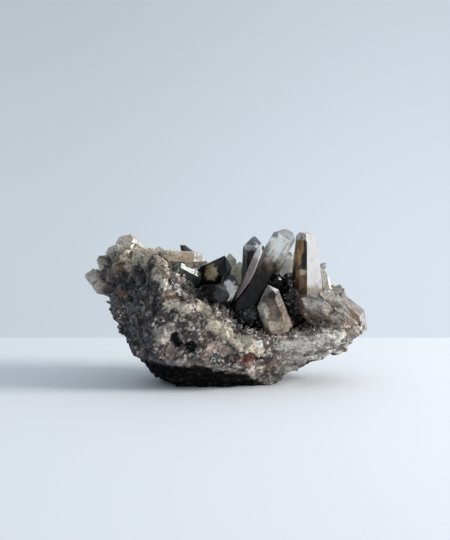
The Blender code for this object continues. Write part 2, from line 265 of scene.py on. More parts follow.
class Bench:
    """A material's node tree, with short ways to add and join nodes."""

    def __init__(self, name: str) -> None:
        """Starts a material that holds one Principled shader.

        Args:
            name: The material's name.
        """
        self.material = bpy.data.materials.new(name)
        self.material.use_nodes = True
        self.tree = self.material.node_tree
        self.shader = self.tree.nodes["Principled BSDF"]

    def add(self, kind: str, values: dict[str, object] | None = None, **settings: object) -> bpy.types.Node:
        """Adds a node.

        Args:
            kind: The node's type without the ShaderNode prefix.
            values: Values for its input sockets.
            **settings: Values for its own properties.

        Returns:
            The new node.
        """
        node = self.tree.nodes.new("ShaderNode" + kind)
        for key, value in settings.items():
            setattr(node, key, value)
        for key, value in (values or {}).items():
            node.inputs[key].default_value = value
        return node

    def join(self, out: bpy.types.NodeSocket, into: bpy.types.NodeSocket) -> None:
        """Links an output to an input."""
        self.tree.links.new(out, into)

    def attribute(self, name: str) -> bpy.types.Node:
        """A node that reads a mesh attribute."""
        return self.add("Attribute", attribute_name=name)

    def noise(self, place: bpy.types.NodeSocket, size: float, detail: float, **more: float) -> bpy.types.Node:
        """A node of smooth noise.

        Args:
            place: Where it is looked up.
            size: Size of a bump in metres.
            detail: How many finer layers it has.
            **more: Values for its other input sockets.

        Returns:
            The noise node.
        """
        node = self.add("TexNoise", {"Scale": 1 / size, "Detail": detail, **more})
        self.join(place, node.inputs["Vector"])
        return node

    def cells(self, place: bpy.types.NodeSocket, size: float, feature: str = "F1") -> bpy.types.Node:
        """A node of Voronoi cells.

        Args:
            place: Where it is looked up.
            size: Size of a cell in metres.
            feature: What it measures.

        Returns:
            The Voronoi node.
        """
        node = self.add("TexVoronoi", {"Scale": 1 / size}, feature=feature)
        self.join(place, node.inputs["Vector"])
        return node

    def ramp(self, source: bpy.types.NodeSocket, stops: Stops) -> bpy.types.NodeSocket:
        """Maps a value to a grey by stops.

        Args:
            source: The value that is mapped.
            stops: Pairs of a position and the grey there, both 0 to 1.

        Returns:
            The ramp's colour output.
        """
        node = self.add("ValToRGB")
        ramp = node.color_ramp
        while len(ramp.elements) < len(stops):
            ramp.elements.new(0.5)
        for element, (place, grey) in zip(ramp.elements, stops):
            element.position = place
            element.color = (grey, grey, grey, 1.0)
        self.join(source, node.inputs["Fac"])
        return node.outputs["Color"]

    def mixed(
        self, how: str, factor: object, first: object, second: object
    ) -> bpy.types.NodeSocket:
        """Mixes two colours.

        Args:
            how: The blend type.
            factor: A number or a socket.
            first: A colour or a socket.
            second: A colour or a socket.

        Returns:
            The mixed colour.
        """
        node = self.add("Mix", data_type="RGBA", blend_type=how)
        for index, value in ((0, factor), (6, first), (7, second)):
            if isinstance(value, bpy.types.NodeSocket):
                self.join(value, node.inputs[index])
            elif isinstance(value, (int, float)):
                node.inputs[index].default_value = value
            else:
                node.inputs[index].default_value = (*value, 1.0)
        return node.outputs[2]

    def bump(self, height: bpy.types.NodeSocket, depth: float, strength: float) -> bpy.types.NodeSocket:
        """Turns a height into a normal.

        Args:
            height: The height, 0 to 1.
            depth: What a height of 1 is, in metres.
            strength: Share of the bump that shows.

        Returns:
            The bumped normal.
        """
        node = self.add("Bump", {"Strength": strength, "Distance": depth})
        self.join(height, node.inputs["Height"])
        return node.outputs["Normal"]


class Kind(Enum):
    """The finishes of the cluster. Each value is the name of its material slot."""

    ROCK = "rock"
    CLEAR = "clear_quartz"
    AMBER = "amber_quartz"
    SMOKY = "smoky_quartz"
    MILKY = "milky_quartz"


@dataclass(frozen=True)
class RockFinish:
    """The crust of the matrix: tinted by attribute, with fine grain, lace-like rims, pores and glints."""

    grain: float = 0.8 * MM
    grain_depth: float = 0.14 * MM
    glint: float = 0.8 * MM / 0.9
    lace: float = 1.3 * MM
    pore: float = 1.05 * MM
    warp_size: float = 1 / 700.0
    warp: float = 0.0009
    speckle_stops: Stops = ((0.34, 0.55), (0.5, 0.9), (0.66, 1.25))
    rim_stops: Stops = ((0.0, 1.0), (0.1, 0.72), (0.3, 0.45))
    rim_share: float = 0.75
    lift: float = 1.35
    pore_stops: Stops = ((0.1, 0.2), (0.24, 1.0))
    pore_share: float = 0.9
    gloss_stops: Stops = ((0.15, 0.26), (0.75, 0.66))
    dull_stops: Stops = ((0.01, 1.0), (0.08, 0.0))
    dull_roughness: float = 0.95
    bump_share: float = 0.8
    refraction: float = 1.54
    specular: float = 0.35

    def material(self) -> bpy.types.Material:
        """Builds the node material.

        Returns:
            The material.
        """
        bench = Bench("rock_crust")
        place = bench.add("TexCoord").outputs["Object"]
        fine = bench.noise(place, self.grain, 4.0, Roughness=0.62)
        glints = bench.cells(place, self.glint)
        speckle = bench.ramp(fine.outputs["Fac"], self.speckle_stops)
        tint = bench.mixed("MULTIPLY", 1.0, bench.attribute("tint").outputs["Color"], speckle)
        warped = bench.noise(place, self.warp_size, 2.0)
        shifted = bench.add("Mix", {0: self.warp}, data_type="VECTOR")
        bench.join(place, shifted.inputs[4])
        bench.join(warped.outputs["Color"], shifted.inputs[5])
        lace = bench.cells(shifted.outputs[1], self.lace, "DISTANCE_TO_EDGE")
        rims = bench.ramp(lace.outputs["Distance"], self.rim_stops)
        tint = bench.mixed("MULTIPLY", self.rim_share, tint, rims)
        tint = bench.mixed("MULTIPLY", 1.0, tint, (self.lift, self.lift, self.lift))
        pores = bench.cells(shifted.outputs[1], self.pore)
        pore = bench.ramp(pores.outputs["Distance"], self.pore_stops)
        tint = bench.mixed("MULTIPLY", self.pore_share, tint, pore)
        bench.join(tint, bench.shader.inputs["Base Color"])
        rough = bench.ramp(glints.outputs["Color"], self.gloss_stops)
        dull = bench.ramp(tint, self.dull_stops)
        rough = bench.mixed("MIX", dull, rough, (self.dull_roughness,) * 3)
        bench.join(rough, bench.shader.inputs["Roughness"])
        height = bench.mixed("MIX", 0.5, fine.outputs["Fac"], rims)
        relief = bench.bump(height, self.grain_depth, self.bump_share)
        bench.join(relief, bench.shader.inputs["Normal"])
        bench.shader.inputs["IOR"].default_value = self.refraction
        bench.shader.inputs["Specular IOR Level"].default_value = self.specular
        return bench.material


@dataclass(frozen=True)
class FootFinish:
    """The foot of the matrix, near black with painted shade: dense, layered rock with a dull lustre."""

    grain: float = 1.1 * MM
    grain_depth: float = 0.1 * MM
    layering: Point = (0.5, 0.5, 2.4)
    speckle_stops: Stops = ((0.4, 0.4), (0.6, 1.0), (0.72, 2.4))
    gloss_stops: Stops = ((0.4, 0.2), (0.65, 0.55))
    bump_share: float = 0.8
    specular: float = 0.04

    def material(self) -> bpy.types.Material:
        """Builds the node material.

        Returns:
            The material.
        """
        bench = Bench("rock_foot")
        layered = bench.add("Mapping", {"Scale": self.layering})
        bench.join(bench.add("TexCoord").outputs["Object"], layered.inputs["Vector"])
        fine = bench.noise(layered.outputs["Vector"], self.grain, 4.0, Roughness=0.6).outputs["Fac"]
        speckle = bench.ramp(fine, self.speckle_stops)
        tint = bench.mixed("MULTIPLY", 1.0, bench.attribute("tint").outputs["Color"], speckle)
        bench.join(tint, bench.shader.inputs["Base Color"])
        bench.join(bench.ramp(fine, self.gloss_stops), bench.shader.inputs["Roughness"])
        bench.join(bench.bump(fine, self.grain_depth, self.bump_share), bench.shader.inputs["Normal"])
        bench.shader.inputs["Specular IOR Level"].default_value = self.specular
        return bench.material


@dataclass(frozen=True)
class QuartzFinish:
    """Quartz: tinted by attribute, with veils, healed cracks and growth lines across the prism faces."""

    name: str
    through: float
    roughness: float
    veil: float
    veil_colour: Colour
    crack: float = 0.35
    dent: float = 0.6
    line_depth: float = 0.05 * MM
    gloss: float = 0.5
    cloud_size: float = 1 / 420.0
    crack_size: float = 1 / 330.0
    crack_width: float = 0.035
    dent_size: float = 1 / 900.0
    lines_per_mm: float = 2.1
    shear_turn: Point = (0.5, 0.9, 0.3)
    shear_scale: Point = (1.0, 0.35, 2.6)
    lit_stops: Stops = ((0.01, 0.0), (0.25, 1.0))
    veil_reach: tuple[float, float] = (0.45, 0.7)
    worn_reach: tuple[float, float] = (0.4, 0.75)
    worn_gain: float = 3.0
    worn_more: float = 0.08
    bump_share: float = 0.8
    refraction: float = 1.544

    def material(self) -> bpy.types.Material:
        """Builds the node material.

        Returns:
            The material.
        """
        bench = Bench(self.name)
        place = bench.add("TexCoord").outputs["Object"]
        cloud = bench.noise(place, self.cloud_size, 5.0, Roughness=0.6, Distortion=0.8).outputs["Fac"]
        streak = bench.add("Mapping", {"Rotation": self.shear_turn, "Scale": self.shear_scale})
        bench.join(place, streak.inputs["Vector"])
        sheared = streak.outputs["Vector"]
        cracks = bench.cells(sheared, self.crack_size, "DISTANCE_TO_EDGE")
        tint = bench.attribute("tint").outputs["Color"]
        lit = bench.ramp(tint, self.lit_stops)
        thin, thick = self.veil_reach
        veil = bench.ramp(cloud, ((thin, 0.0), (thick, self.veil)))
        line = bench.ramp(cracks.outputs["Distance"], ((0.0, self.crack), (self.crack_width, 0.0)))
        tinted = tint
        for share in (veil, line):
            share = bench.mixed("MULTIPLY", 1.0, share, lit)
            tinted = bench.mixed("MIX", share, tinted, self.veil_colour)
        bench.join(tinted, bench.shader.inputs["Base Color"])
        steps = bench.add("TexNoise", {"Scale": self.lines_per_mm, "Detail": 3.0}, noise_dimensions="1D")
        bench.join(bench.attribute("along").outputs["Fac"], steps.inputs["W"])
        dents = bench.noise(sheared, self.dent_size, 3.0, Roughness=0.55)
        relief = bench.mixed("MIX", self.dent, steps.outputs["Fac"], dents.outputs["Fac"])
        normal = bench.bump(relief, self.line_depth, self.bump_share)
        bench.join(normal, bench.shader.inputs["Normal"])
        clean, worn = self.worn_reach
        worn_roughness = min(1.0, self.roughness * self.worn_gain + self.worn_more)
        rough = bench.ramp(cloud, ((clean, self.roughness), (worn, worn_roughness)))
        bench.join(rough, bench.shader.inputs["Roughness"])
        bench.shader.inputs["Transmission Weight"].default_value = self.through
        bench.shader.inputs["Specular IOR Level"].default_value = self.gloss
        bench.shader.inputs["IOR"].default_value = self.refraction
        return bench.material


QUARTZ_FINISHES = {
    Kind.CLEAR: QuartzFinish("quartz_clear", 0.7, 0.07, 0.35, shade(236, 236, 230), gloss=0.25),
    Kind.AMBER: QuartzFinish("quartz_amber", 0.4, 0.04, 0.2, shade(232, 224, 212), gloss=0.4),
    Kind.SMOKY: QuartzFinish(
        "quartz_smoky", 0.3, 0.03, 0.08, shade(120, 122, 126), crack=0.15, gloss=0.22
    ),
    Kind.MILKY: QuartzFinish("quartz_milky", 0.3, 0.2, 0.5, shade(232, 226, 212), gloss=0.3),
}


class Facing(Enum):
    """The ways that a crystal's facet can face in the cluster."""

    LEFT = (-1.0, 0.0, 0.0)
    RIGHT = (1.0, 0.0, 0.0)
    FRONT = (0.0, -1.0, 0.0)
    BACK = (0.0, 1.0, 0.0)
    UP = (0.0, 0.0, 1.0)


@dataclass(frozen=True)
class FacetTint:
    """A colour for the facets that face one way."""

    facing: Facing
    colour: Colour
    share: float = 1.0
    near: float = 0.75
    span: tuple[float, float] = (0.0, 1.0)
    streak: float = 0.0


@dataclass(frozen=True)
class Spot:
    """A coloured place on a crystal: its middle as shares of the crystal's box, its reach in millimetres."""

    middle: Point
    reach: Point
    colour: Colour
    share: float = 1.0
    facing: Facing | None = None


@dataclass(frozen=True)
class Tint:
    """The colour of a crystal from root to tip, and the facets and spots that differ."""

    bands: tuple[tuple[float, Colour], ...]
    facets: tuple[FacetTint, ...] = ()
    spots: tuple[Spot, ...] = ()
    mottle: float = 0.35
    streak: float = 0.1
    specks: Colour | None = None
    dressed_as: Kind | None = None


SMOKE = shade(30, 28, 28)

KIND_TINTS = {
    Kind.CLEAR: Tint(((0.0, shade(132, 122, 108)), (0.5, shade(188, 180, 166)), (1.0, shade(220, 218, 208)))),
    Kind.AMBER: Tint(((0.0, shade(88, 70, 52)), (0.6, shade(146, 122, 92)), (1.0, shade(190, 172, 144)))),
    Kind.SMOKY: Tint(((0.0, shade(18, 17, 17)), (1.0, shade(34, 33, 35))), mottle=0.4),
    Kind.MILKY: Tint(((0.0, shade(176, 164, 148)), (1.0, shade(230, 222, 208)))),
}

LEFT_TIP = Tint((
    (0.0, shade(56, 50, 50)), (0.4, shade(84, 74, 70)), (0.62, shade(176, 164, 150)),
    (1.0, shade(236, 228, 218)),
))
SHELF_FACETS = (
    # Painted highlight: the facets that look up are made near white.
    FacetTint(Facing.UP, shade(244, 238, 228), 0.7, 0.45),
    FacetTint(Facing.LEFT, shade(150, 122, 98), 0.5, 0.6),
)
SHELF_SPOTS = (
    Spot((0.3, 0.3, 0.35), (2.0, 5.0, 1.2), shade(124, 92, 76), 0.7),
    Spot((0.7, 0.3, 0.55), (1.6, 5.0, 1.0), shade(128, 100, 84), 0.6),
    # Painted highlight: a near-white streak near the top.
    Spot((0.45, 0.3, 0.8), (2.2, 5.0, 0.8), shade(250, 246, 238), 0.7),
)

CRYSTAL_TINTS = {
    "clear_tip_crystal": Tint(
        (
            (0.0, shade(8, 8, 8)), (0.4, shade(10, 9, 9)), (0.5, shade(16, 13, 12)),
            (0.57, shade(72, 56, 42)), (0.63, shade(150, 138, 124)), (0.71, shade(236, 236, 230)),
            (1.0, shade(246, 247, 242)),
        ),
        (
            # Painted highlight: the facets that look up near the tip are made near white.
            FacetTint(Facing.UP, shade(240, 242, 240), 0.8, 0.55, (0.8, 1.0)),
            FacetTint(Facing.LEFT, shade(82, 66, 54), 0.6, 0.6, (0.3, 0.72)),
        ),
        (
            Spot((0.42, 0.4, 0.55), (1.8, 5.0, 1.2), shade(104, 80, 58), 0.6),
            Spot((0.60, 0.4, 0.62), (1.3, 5.0, 1.6), shade(120, 96, 72), 0.6),
            Spot((0.36, 0.4, 0.40), (1.3, 5.0, 0.9), shade(86, 72, 60), 0.5),
            Spot((0.62, 0.4, 0.44), (0.8, 5.0, 1.6), shade(8, 8, 8), 0.9),
        ),
        mottle=0.6, specks=shade(96, 76, 58),
    ),
    "brown_white_crystal": Tint(
        (
            (0.0, shade(120, 108, 92)), (0.4, shade(196, 188, 176)), (0.6, shade(240, 240, 240)),
            (0.93, shade(244, 244, 244)), (1.0, shade(232, 218, 184)),
        ),
        (
            FacetTint(Facing.LEFT, shade(116, 82, 42), 1.0, 0.4, (0.2, 0.95), 1.8),
            # Painted highlight: the right facets, which face the key light, are painted white.
            FacetTint(Facing.RIGHT, shade(255, 255, 255), 1.0, 0.4, (0.4, 0.97)),
        ),
        (
            Spot((0.47, 0.22, 0.67), (1.7, 5.0, 2.9), shade(4, 4, 3), 1.0, Facing.LEFT),
            Spot((0.30, 0.22, 0.72), (0.6, 5.0, 2.8), shade(212, 162, 90), 0.85, Facing.LEFT),
            Spot((0.42, 0.22, 0.555), (1.2, 5.0, 0.8), shade(240, 202, 154), 0.95, Facing.LEFT),
            # Painted glint: a small white dot.
            Spot((0.75, 0.22, 0.58), (0.5, 5.0, 0.5), shade(255, 255, 255), 1.0),
            Spot((0.30, 0.22, 0.38), (2.0, 5.0, 3.2), shade(112, 84, 58), 0.85),
        ),
        mottle=0.22, streak=0.12,
    ),
    "dark_capped_crystal": Tint(
        (
            # Painted glint: the narrow white band just under the cap.
            (0.0, shade(8, 8, 9)), (0.81, shade(10, 10, 11)), (0.84, shade(232, 232, 230)),
            (0.87, shade(214, 216, 218)), (0.9, shade(60, 66, 76)), (1.0, shade(120, 130, 144)),
        ),
        # Painted highlight: a light edge on the facets that look left.
        (FacetTint(Facing.LEFT, shade(190, 190, 188), 0.2, 0.85, (0.2, 0.7)),),
        mottle=0.1,
    ),
    "black_window_crystal": Tint(
        ((0.0, shade(10, 10, 10)), (1.0, shade(13, 13, 15))),
        (FacetTint(Facing.RIGHT, shade(60, 68, 82), 0.5, 0.8, (0.6, 1.0)),),
        (
            Spot((0.508, 0.14, 0.69), (1.9, 5.0, 2.5), shade(166, 146, 112), 1.0),
            Spot((0.556, 0.14, 0.756), (0.8, 5.0, 0.9), shade(212, 192, 156), 0.8),
        ),
        mottle=0.05, streak=0.1,
    ),
    "lit_sliver_crystal": Tint(
        ((0.0, shade(120, 104, 104)), (0.75, shade(176, 160, 160)), (0.9, shade(250, 250, 250))),
    ),
    "ridge_slab_crystal": Tint(
        ((0.0, shade(206, 180, 152)), (0.6, shade(208, 186, 158)), (1.0, shade(180, 174, 158))),
        (FacetTint(Facing.RIGHT, shade(98, 94, 84), 0.95, 0.4),),
        mottle=0.5, streak=0.3,
    ),
    "green_blade_crystal": Tint(((0.0, shade(46, 52, 46)), (1.0, shade(106, 118, 106))), mottle=0.3),
    "bright_face_crystal": Tint(
        ((0.0, shade(30, 30, 31)), (1.0, shade(52, 54, 56))),
        spots=(
            # Painted reflection: the bright face is a near-white patch on the dark body.
            Spot((0.52, 0.3, 0.58), (2.5, 6.0, 3.4), shade(250, 253, 255), 1.0),
            Spot((0.40, 0.3, 0.56), (0.2, 6.0, 2.6), shade(70, 74, 78), 0.9),
        ),
        streak=0.3, dressed_as=Kind.MILKY,
    ),
    "white_gap_crystal": Tint(((0.0, shade(236, 238, 240)), (1.0, shade(244, 246, 248)))),
    "pale_back_crystal_1": Tint(((0.0, shade(246, 238, 200)), (1.0, shade(222, 220, 204)))),
    "pale_back_crystal_2": Tint(((0.0, shade(246, 238, 200)), (1.0, shade(216, 214, 198)))),
    "amber_shard_crystal": Tint(
        (
            (0.0, shade(200, 176, 146)), (0.3, shade(142, 114, 90)), (0.7, shade(110, 90, 78)),
            (1.0, shade(150, 144, 138)),
        ),
        (
            FacetTint(Facing.UP, shade(214, 210, 206), 0.6, 0.5),
            FacetTint(Facing.RIGHT, shade(160, 150, 142), 0.5, 0.5),
        ),
        (
            # Painted highlights: the lit cream lower edges and the white spot at the top.
            Spot((0.14, 0.25, 0.42), (1.9, 6.0, 3.2), shade(255, 248, 226), 1.0),
            Spot((0.42, 0.25, 0.18), (3.0, 6.0, 1.5), shade(255, 236, 208), 1.0),
            Spot((0.60, 0.25, 0.93), (2.4, 6.0, 0.5), shade(255, 255, 255), 0.8),
            Spot((0.40, 0.25, 0.80), (1.4, 6.0, 1.3), shade(34, 28, 26), 0.9),
            Spot((0.62, 0.25, 0.48), (1.2, 6.0, 1.6), shade(92, 74, 66), 0.7),
        ),
        mottle=0.7, streak=0.12,
    ),
    "right_chunk_crystal_1": Tint(
        ((0.0, shade(176, 156, 134)), (0.6, shade(222, 208, 190)), (1.0, shade(240, 232, 222))),
        SHELF_FACETS, SHELF_SPOTS, mottle=0.7, streak=0.3,
    ),
    "right_chunk_crystal_2": Tint(
        ((0.0, shade(168, 148, 128)), (0.6, shade(216, 204, 186)), (1.0, shade(236, 228, 218))),
        SHELF_FACETS, SHELF_SPOTS, mottle=0.7, streak=0.3,
    ),
    "right_chunk_crystal_3": Tint(
        ((0.0, shade(196, 180, 162)), (0.6, shade(170, 142, 120)), (1.0, shade(240, 232, 224))),
        SHELF_FACETS, SHELF_SPOTS, mottle=0.7, streak=0.3,
    ),
    # Painted shade: this piece is tinted dark brown as the shadow in its recess.
    "brown_recess_crystal": Tint(((0.0, shade(22, 16, 12)), (1.0, shade(74, 52, 34)))),
    "right_end_crystal": Tint(
        ((0.0, shade(140, 118, 96)), (1.0, shade(168, 140, 112))),
        (
            FacetTint(Facing.RIGHT, shade(196, 190, 182), 0.9, 0.4),
            FacetTint(Facing.UP, shade(120, 104, 92), 0.6, 0.6),
        ),
        mottle=0.5, streak=0.3,
    ),
    "left_back_crystal_1": Tint(((0.0, shade(196, 176, 156)), (1.0, shade(240, 222, 206)))),
    "left_back_crystal_2": Tint(((0.0, shade(186, 166, 142)), (1.0, shade(232, 218, 196)))),
    "ridge_back_crystal_1": Tint(((0.0, shade(180, 178, 170)), (0.6, shade(120, 118, 112)), (1.0, SMOKE))),
    "grey_flat_crystal": Tint(
        ((0.0, shade(20, 19, 19)), (1.0, shade(58, 56, 56))), mottle=0.8, streak=0.4, specks=shade(96, 92, 90)
    ),
    "left_tip_crystal_1": LEFT_TIP,
    "left_tip_crystal_2": LEFT_TIP,
    "left_tip_crystal_3": LEFT_TIP,
}


@dataclass
class CrystalPiece:
    """One grown crystal: the CAD solid's own facets, with fine edges, growth relief and its colours."""

    node: str
    finish: bpy.types.Material
    kind: Kind
    grow: float = 0.14 * MM
    weld: float = 0.004 * MM
    edge_round: float = 0.11 * MM
    facet_angle: float = math.radians(2.0)
    sharp_angle: float = math.radians(14)
    longest_edge: float = 0.7 * MM
    most_cuts: int = 5
    ripple: float = 0.035 * MM
    line_gap: float = 0.9 * MM
    line_share: float = 0.6
    drawn_out: float = 0.85
    wobble: Waves = Waves(((0.06, 1.6 * MM, 3.0),))
    stripes: Waves = Waves(((1.0, 0.8 * MM, 12.0), (0.8, 0.4 * MM, 13.0)))
    grit: Waves = Waves(((1.0, 0.75 * MM, 14.0), (0.7, 0.4 * MM, 15.0)))
    ragged: Waves = Waves(((0.35, 1.0 * MM, 4.0),))
    mottle: Waves = Waves(((1.0, 2.2 * MM, 1.0), (0.9, 0.8 * MM, 2.0)))
    streaks: Waves = Waves(((2.0, 0.7 * MM, 8.0), (1.2, 0.35 * MM, 9.0)))
    dents: Waves = Waves(((0.7, 1.1 * MM, 9.0),))
    facing_step: Step = Step(-0.15, 0.1)
    band_blur: float = 0.03
    speck_share: float = 0.6
    speck_step: Step = Step(0.2, 0.55)
    speck_level: Step = Step(0.75, 0.6)
    spot_step: Step = Step(1.15, 0.85)
    spot_facing: Step = Step(0.1, 0.35)
    patch_range: tuple[float, float] = (0.15, 2.2)
    colour_range: tuple[float, float] = (0.003, 0.97)

    def axis(self) -> Vector:
        """Finds the long axis: the direction that the facets face least.

        Returns:
            The direction from root to tip.
        """
        spread = np.zeros((3, 3))
        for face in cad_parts[self.node].data.polygons:
            normal = np.array(face.normal)
            spread += face.area * np.outer(normal, normal)
        along = Vector(np.linalg.eigh(spread)[1][:, 0])
        low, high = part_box(self.node)
        ground_low, ground_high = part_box("matrix")
        outward = (low + high) / 2 - (ground_low + ground_high) / 2
        return along if along.dot(outward) > 0 else -along

    def facets(self) -> bmesh.types.BMesh:
        """Takes the solid's flat facets, grown a little so that neighbours touch, and softens their edges.

        Returns:
            The facets, cut fine enough to carry colour.
        """
        bm = bmesh.new()
        bm.from_mesh(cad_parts[self.node].data)
        bmesh.ops.remove_doubles(bm, verts=bm.verts, dist=self.weld)
        bmesh.ops.dissolve_limit(bm, angle_limit=self.facet_angle, verts=bm.verts, edges=bm.edges)
        bmesh.ops.triangulate(bm, faces=[f for f in bm.faces if len(f.verts) > 4])
        bm.normal_update()
        pushed = {vertex: vertex.normal * self.grow for vertex in bm.verts}
        for vertex, push in pushed.items():
            vertex.co += push
        sharp = [
            edge for edge in bm.edges
            if len(edge.link_faces) == 2 and edge.calc_face_angle(0.0) > self.sharp_angle
        ]
        bmesh.ops.bevel(
            bm, geom=sharp, offset=self.edge_round, segments=1, profile=0.5, affect="EDGES",
            clamp_overlap=True,
        )
        for _ in range(self.most_cuts):
            long = [edge for edge in bm.edges if edge.calc_length() > self.longest_edge]
            if not long:
                break
            bmesh.ops.subdivide_edges(bm, edges=long, cuts=1, use_grid_fill=False)
            bmesh.ops.triangulate(bm, faces=[f for f in bm.faces if len(f.verts) > 3])
        self.settle(bm)
        bm.normal_update()
        return bm

    @staticmethod
    def settle(bm: bmesh.types.BMesh) -> None:
        """Gives the points and faces an order that is the same every run.

        Args:
            bm: The facets, which are changed.
        """
        rank = {vertex: place for place, vertex in enumerate(sorted(bm.verts, key=lambda v: v.co[:]))}
        bm.verts.sort(key=rank.get)
        rows = sorted(bm.faces, key=lambda face: sorted(rank[vertex] for vertex in face.verts))
        row_of = {face: place for place, face in enumerate(rows)}
        bm.faces.sort(key=row_of.get)

    def colours(self, points: np.ndarray, normals: np.ndarray, share: np.ndarray) -> np.ndarray:
        """The colour at each point.

        Args:
            points: Points on the crystal.
            normals: The facet's normal at each point.
            share: How far each point is from root to tip, 0 to 1.

        Returns:
            One linear colour a row.
        """
        tint = CRYSTAL_TINTS.get(self.node, KIND_TINTS[self.kind])
        level = share + self.wobble.at(points)
        stops = [stop for stop, _ in tint.bands]
        table = np.array([colour for _, colour in tint.bands])
        along = np.array(self.axis())
        drawn = points - self.drawn_out * np.outer(points @ along, along)
        out = np.stack([np.interp(level, stops, channel) for channel in table.T], axis=1)
        for facet in tint.facets:
            faced = self.facing_step.of(normals @ np.array(facet.facing.value) - facet.near)
            low, high = facet.span
            inside = smooth(level, low - self.band_blur, low + self.band_blur)
            inside *= smooth(level, high + self.band_blur, high - self.band_blur)
            out = blend_to(out, facet.colour, faced * inside * facet.share)
            if facet.streak:
                out *= (1 + facet.streak * faced * inside * self.stripes.at(drawn))[:, None]
        if tint.specks:
            grit = self.speck_step.of(self.grit.at(points)) * self.speck_level.of(share)
            out = blend_to(out, tint.specks, self.speck_share * grit)
        low, high = (np.array(corner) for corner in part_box(self.node))
        for spot in tint.spots:
            middle = low + np.array(spot.middle) * (high - low)
            away = (points - middle) / (np.array(spot.reach) * MM)
            spread = np.sqrt((away**2).sum(axis=1)) + self.ragged.at(points)
            weight = self.spot_step.of(spread) * spot.share
            if spot.facing:
                weight = weight * self.spot_facing.of(normals @ np.array(spot.facing.value))
            out = blend_to(out, spot.colour, weight)
        patches = 1 + tint.mottle * self.mottle.at(points) + tint.streak * self.streaks.at(drawn)
        return np.clip(out * np.clip(patches, *self.patch_range)[:, None], *self.colour_range)

    def build(self) -> bpy.types.Object:
        """Makes the piece.

        Returns:
            The piece.
        """
        bm = self.facets()
        along = self.axis()
        mesh = bpy.data.meshes.new(self.node.replace("crystal", "quartz"))
        bm.to_mesh(mesh)
        bm.free()
        points = np.array([v.co for v in mesh.vertices])
        reach = points @ np.array(along)
        length = reach.max() - reach.min()
        share = (reach - reach.min()) / length
        corner_point = np.array([loop.vertex_index for loop in mesh.loops])
        corner_normal = np.repeat(
            np.array([face.normal for face in mesh.polygons]),
            [face.loop_total for face in mesh.polygons], axis=0,
        )
        paint(mesh, self.colours(points[corner_point], corner_normal, share[corner_point]), "CORNER")
        mark_along(mesh, (reach - reach.min()) / MM)
        self.ripple_surface(mesh, points, reach)
        mesh.materials.append(self.finish)
        made = placed(mesh)
        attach(made, "root")
        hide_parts(self.node)
        return made

    def ripple_surface(self, mesh: bpy.types.Mesh, points: np.ndarray, reach: np.ndarray) -> None:
        """Raises growth lines across the facets.

        Args:
            mesh: The crystal's mesh, which is changed.
            points: Its points.
            reach: Each point's place along the axis, in metres.
        """
        normals = np.array([v.normal for v in mesh.vertices])
        lines = np.array([noise.noise(Vector((r / self.line_gap, 7.0, 3.0))) for r in reach])
        height = (self.line_share * lines + self.dents.at(points)) * self.ripple
        mesh.vertices.foreach_set("co", (points + normals * height[:, None]).astype(np.float32).ravel())
        mesh.update()


@dataclass
class Ground:
    """The matrix's points, with what colour and relief need to know about each."""

    points: np.ndarray
    normals: np.ndarray
    extent: Extent
    shares: np.ndarray = field(init=False)
    wander: np.ndarray = field(init=False)

    def __post_init__(self) -> None:
        """Works out each point's share of the box and a slow wandering noise."""
        self.shares = self.extent.shares(self.points)
        self.wander = Waves(((1.0, 2.4 * MM, 5.0), (0.5, 1.0 * MM, 6.0))).at(self.points)


@dataclass(frozen=True)
class Patch:
    """A stain, block or hollow on the matrix, or a band of it where it has an end; a near-black hollow's
    colour is painted shade.

    Its middle and end are given as shares of the cluster's box, and its reach and sink in millimetres.
    """

    middle: Point
    reach: Point
    colour: Colour
    share: float = 1.0
    sink: float = 0.0
    end: Point | None = None
    ragged: float = 0.4
    edge: Step = Step(1.15, 0.8)
    frontal: Step = Step(0.35, 0.0)

    def weight(self, ground: Ground) -> np.ndarray:
        """How strongly the patch shows at each point.

        Args:
            ground: The matrix's points.

        Returns:
            A value of 0 to 1 for each point.
        """
        reach = np.array(self.reach) * MM
        start = np.array(self.middle)
        run = (np.array(self.end or self.middle) - start) * ground.extent.span / reach
        away = (ground.shares - start) * ground.extent.span / reach
        if self.end:
            passed = np.clip(away @ run / (run @ run), 0.0, 1.0)
            away = away - passed[:, None] * run[None, :]
        spread = np.sqrt((away**2).sum(axis=1)) + self.ragged * ground.wander
        return self.edge.of(spread) * self.frontal.of(ground.normals[:, 1])
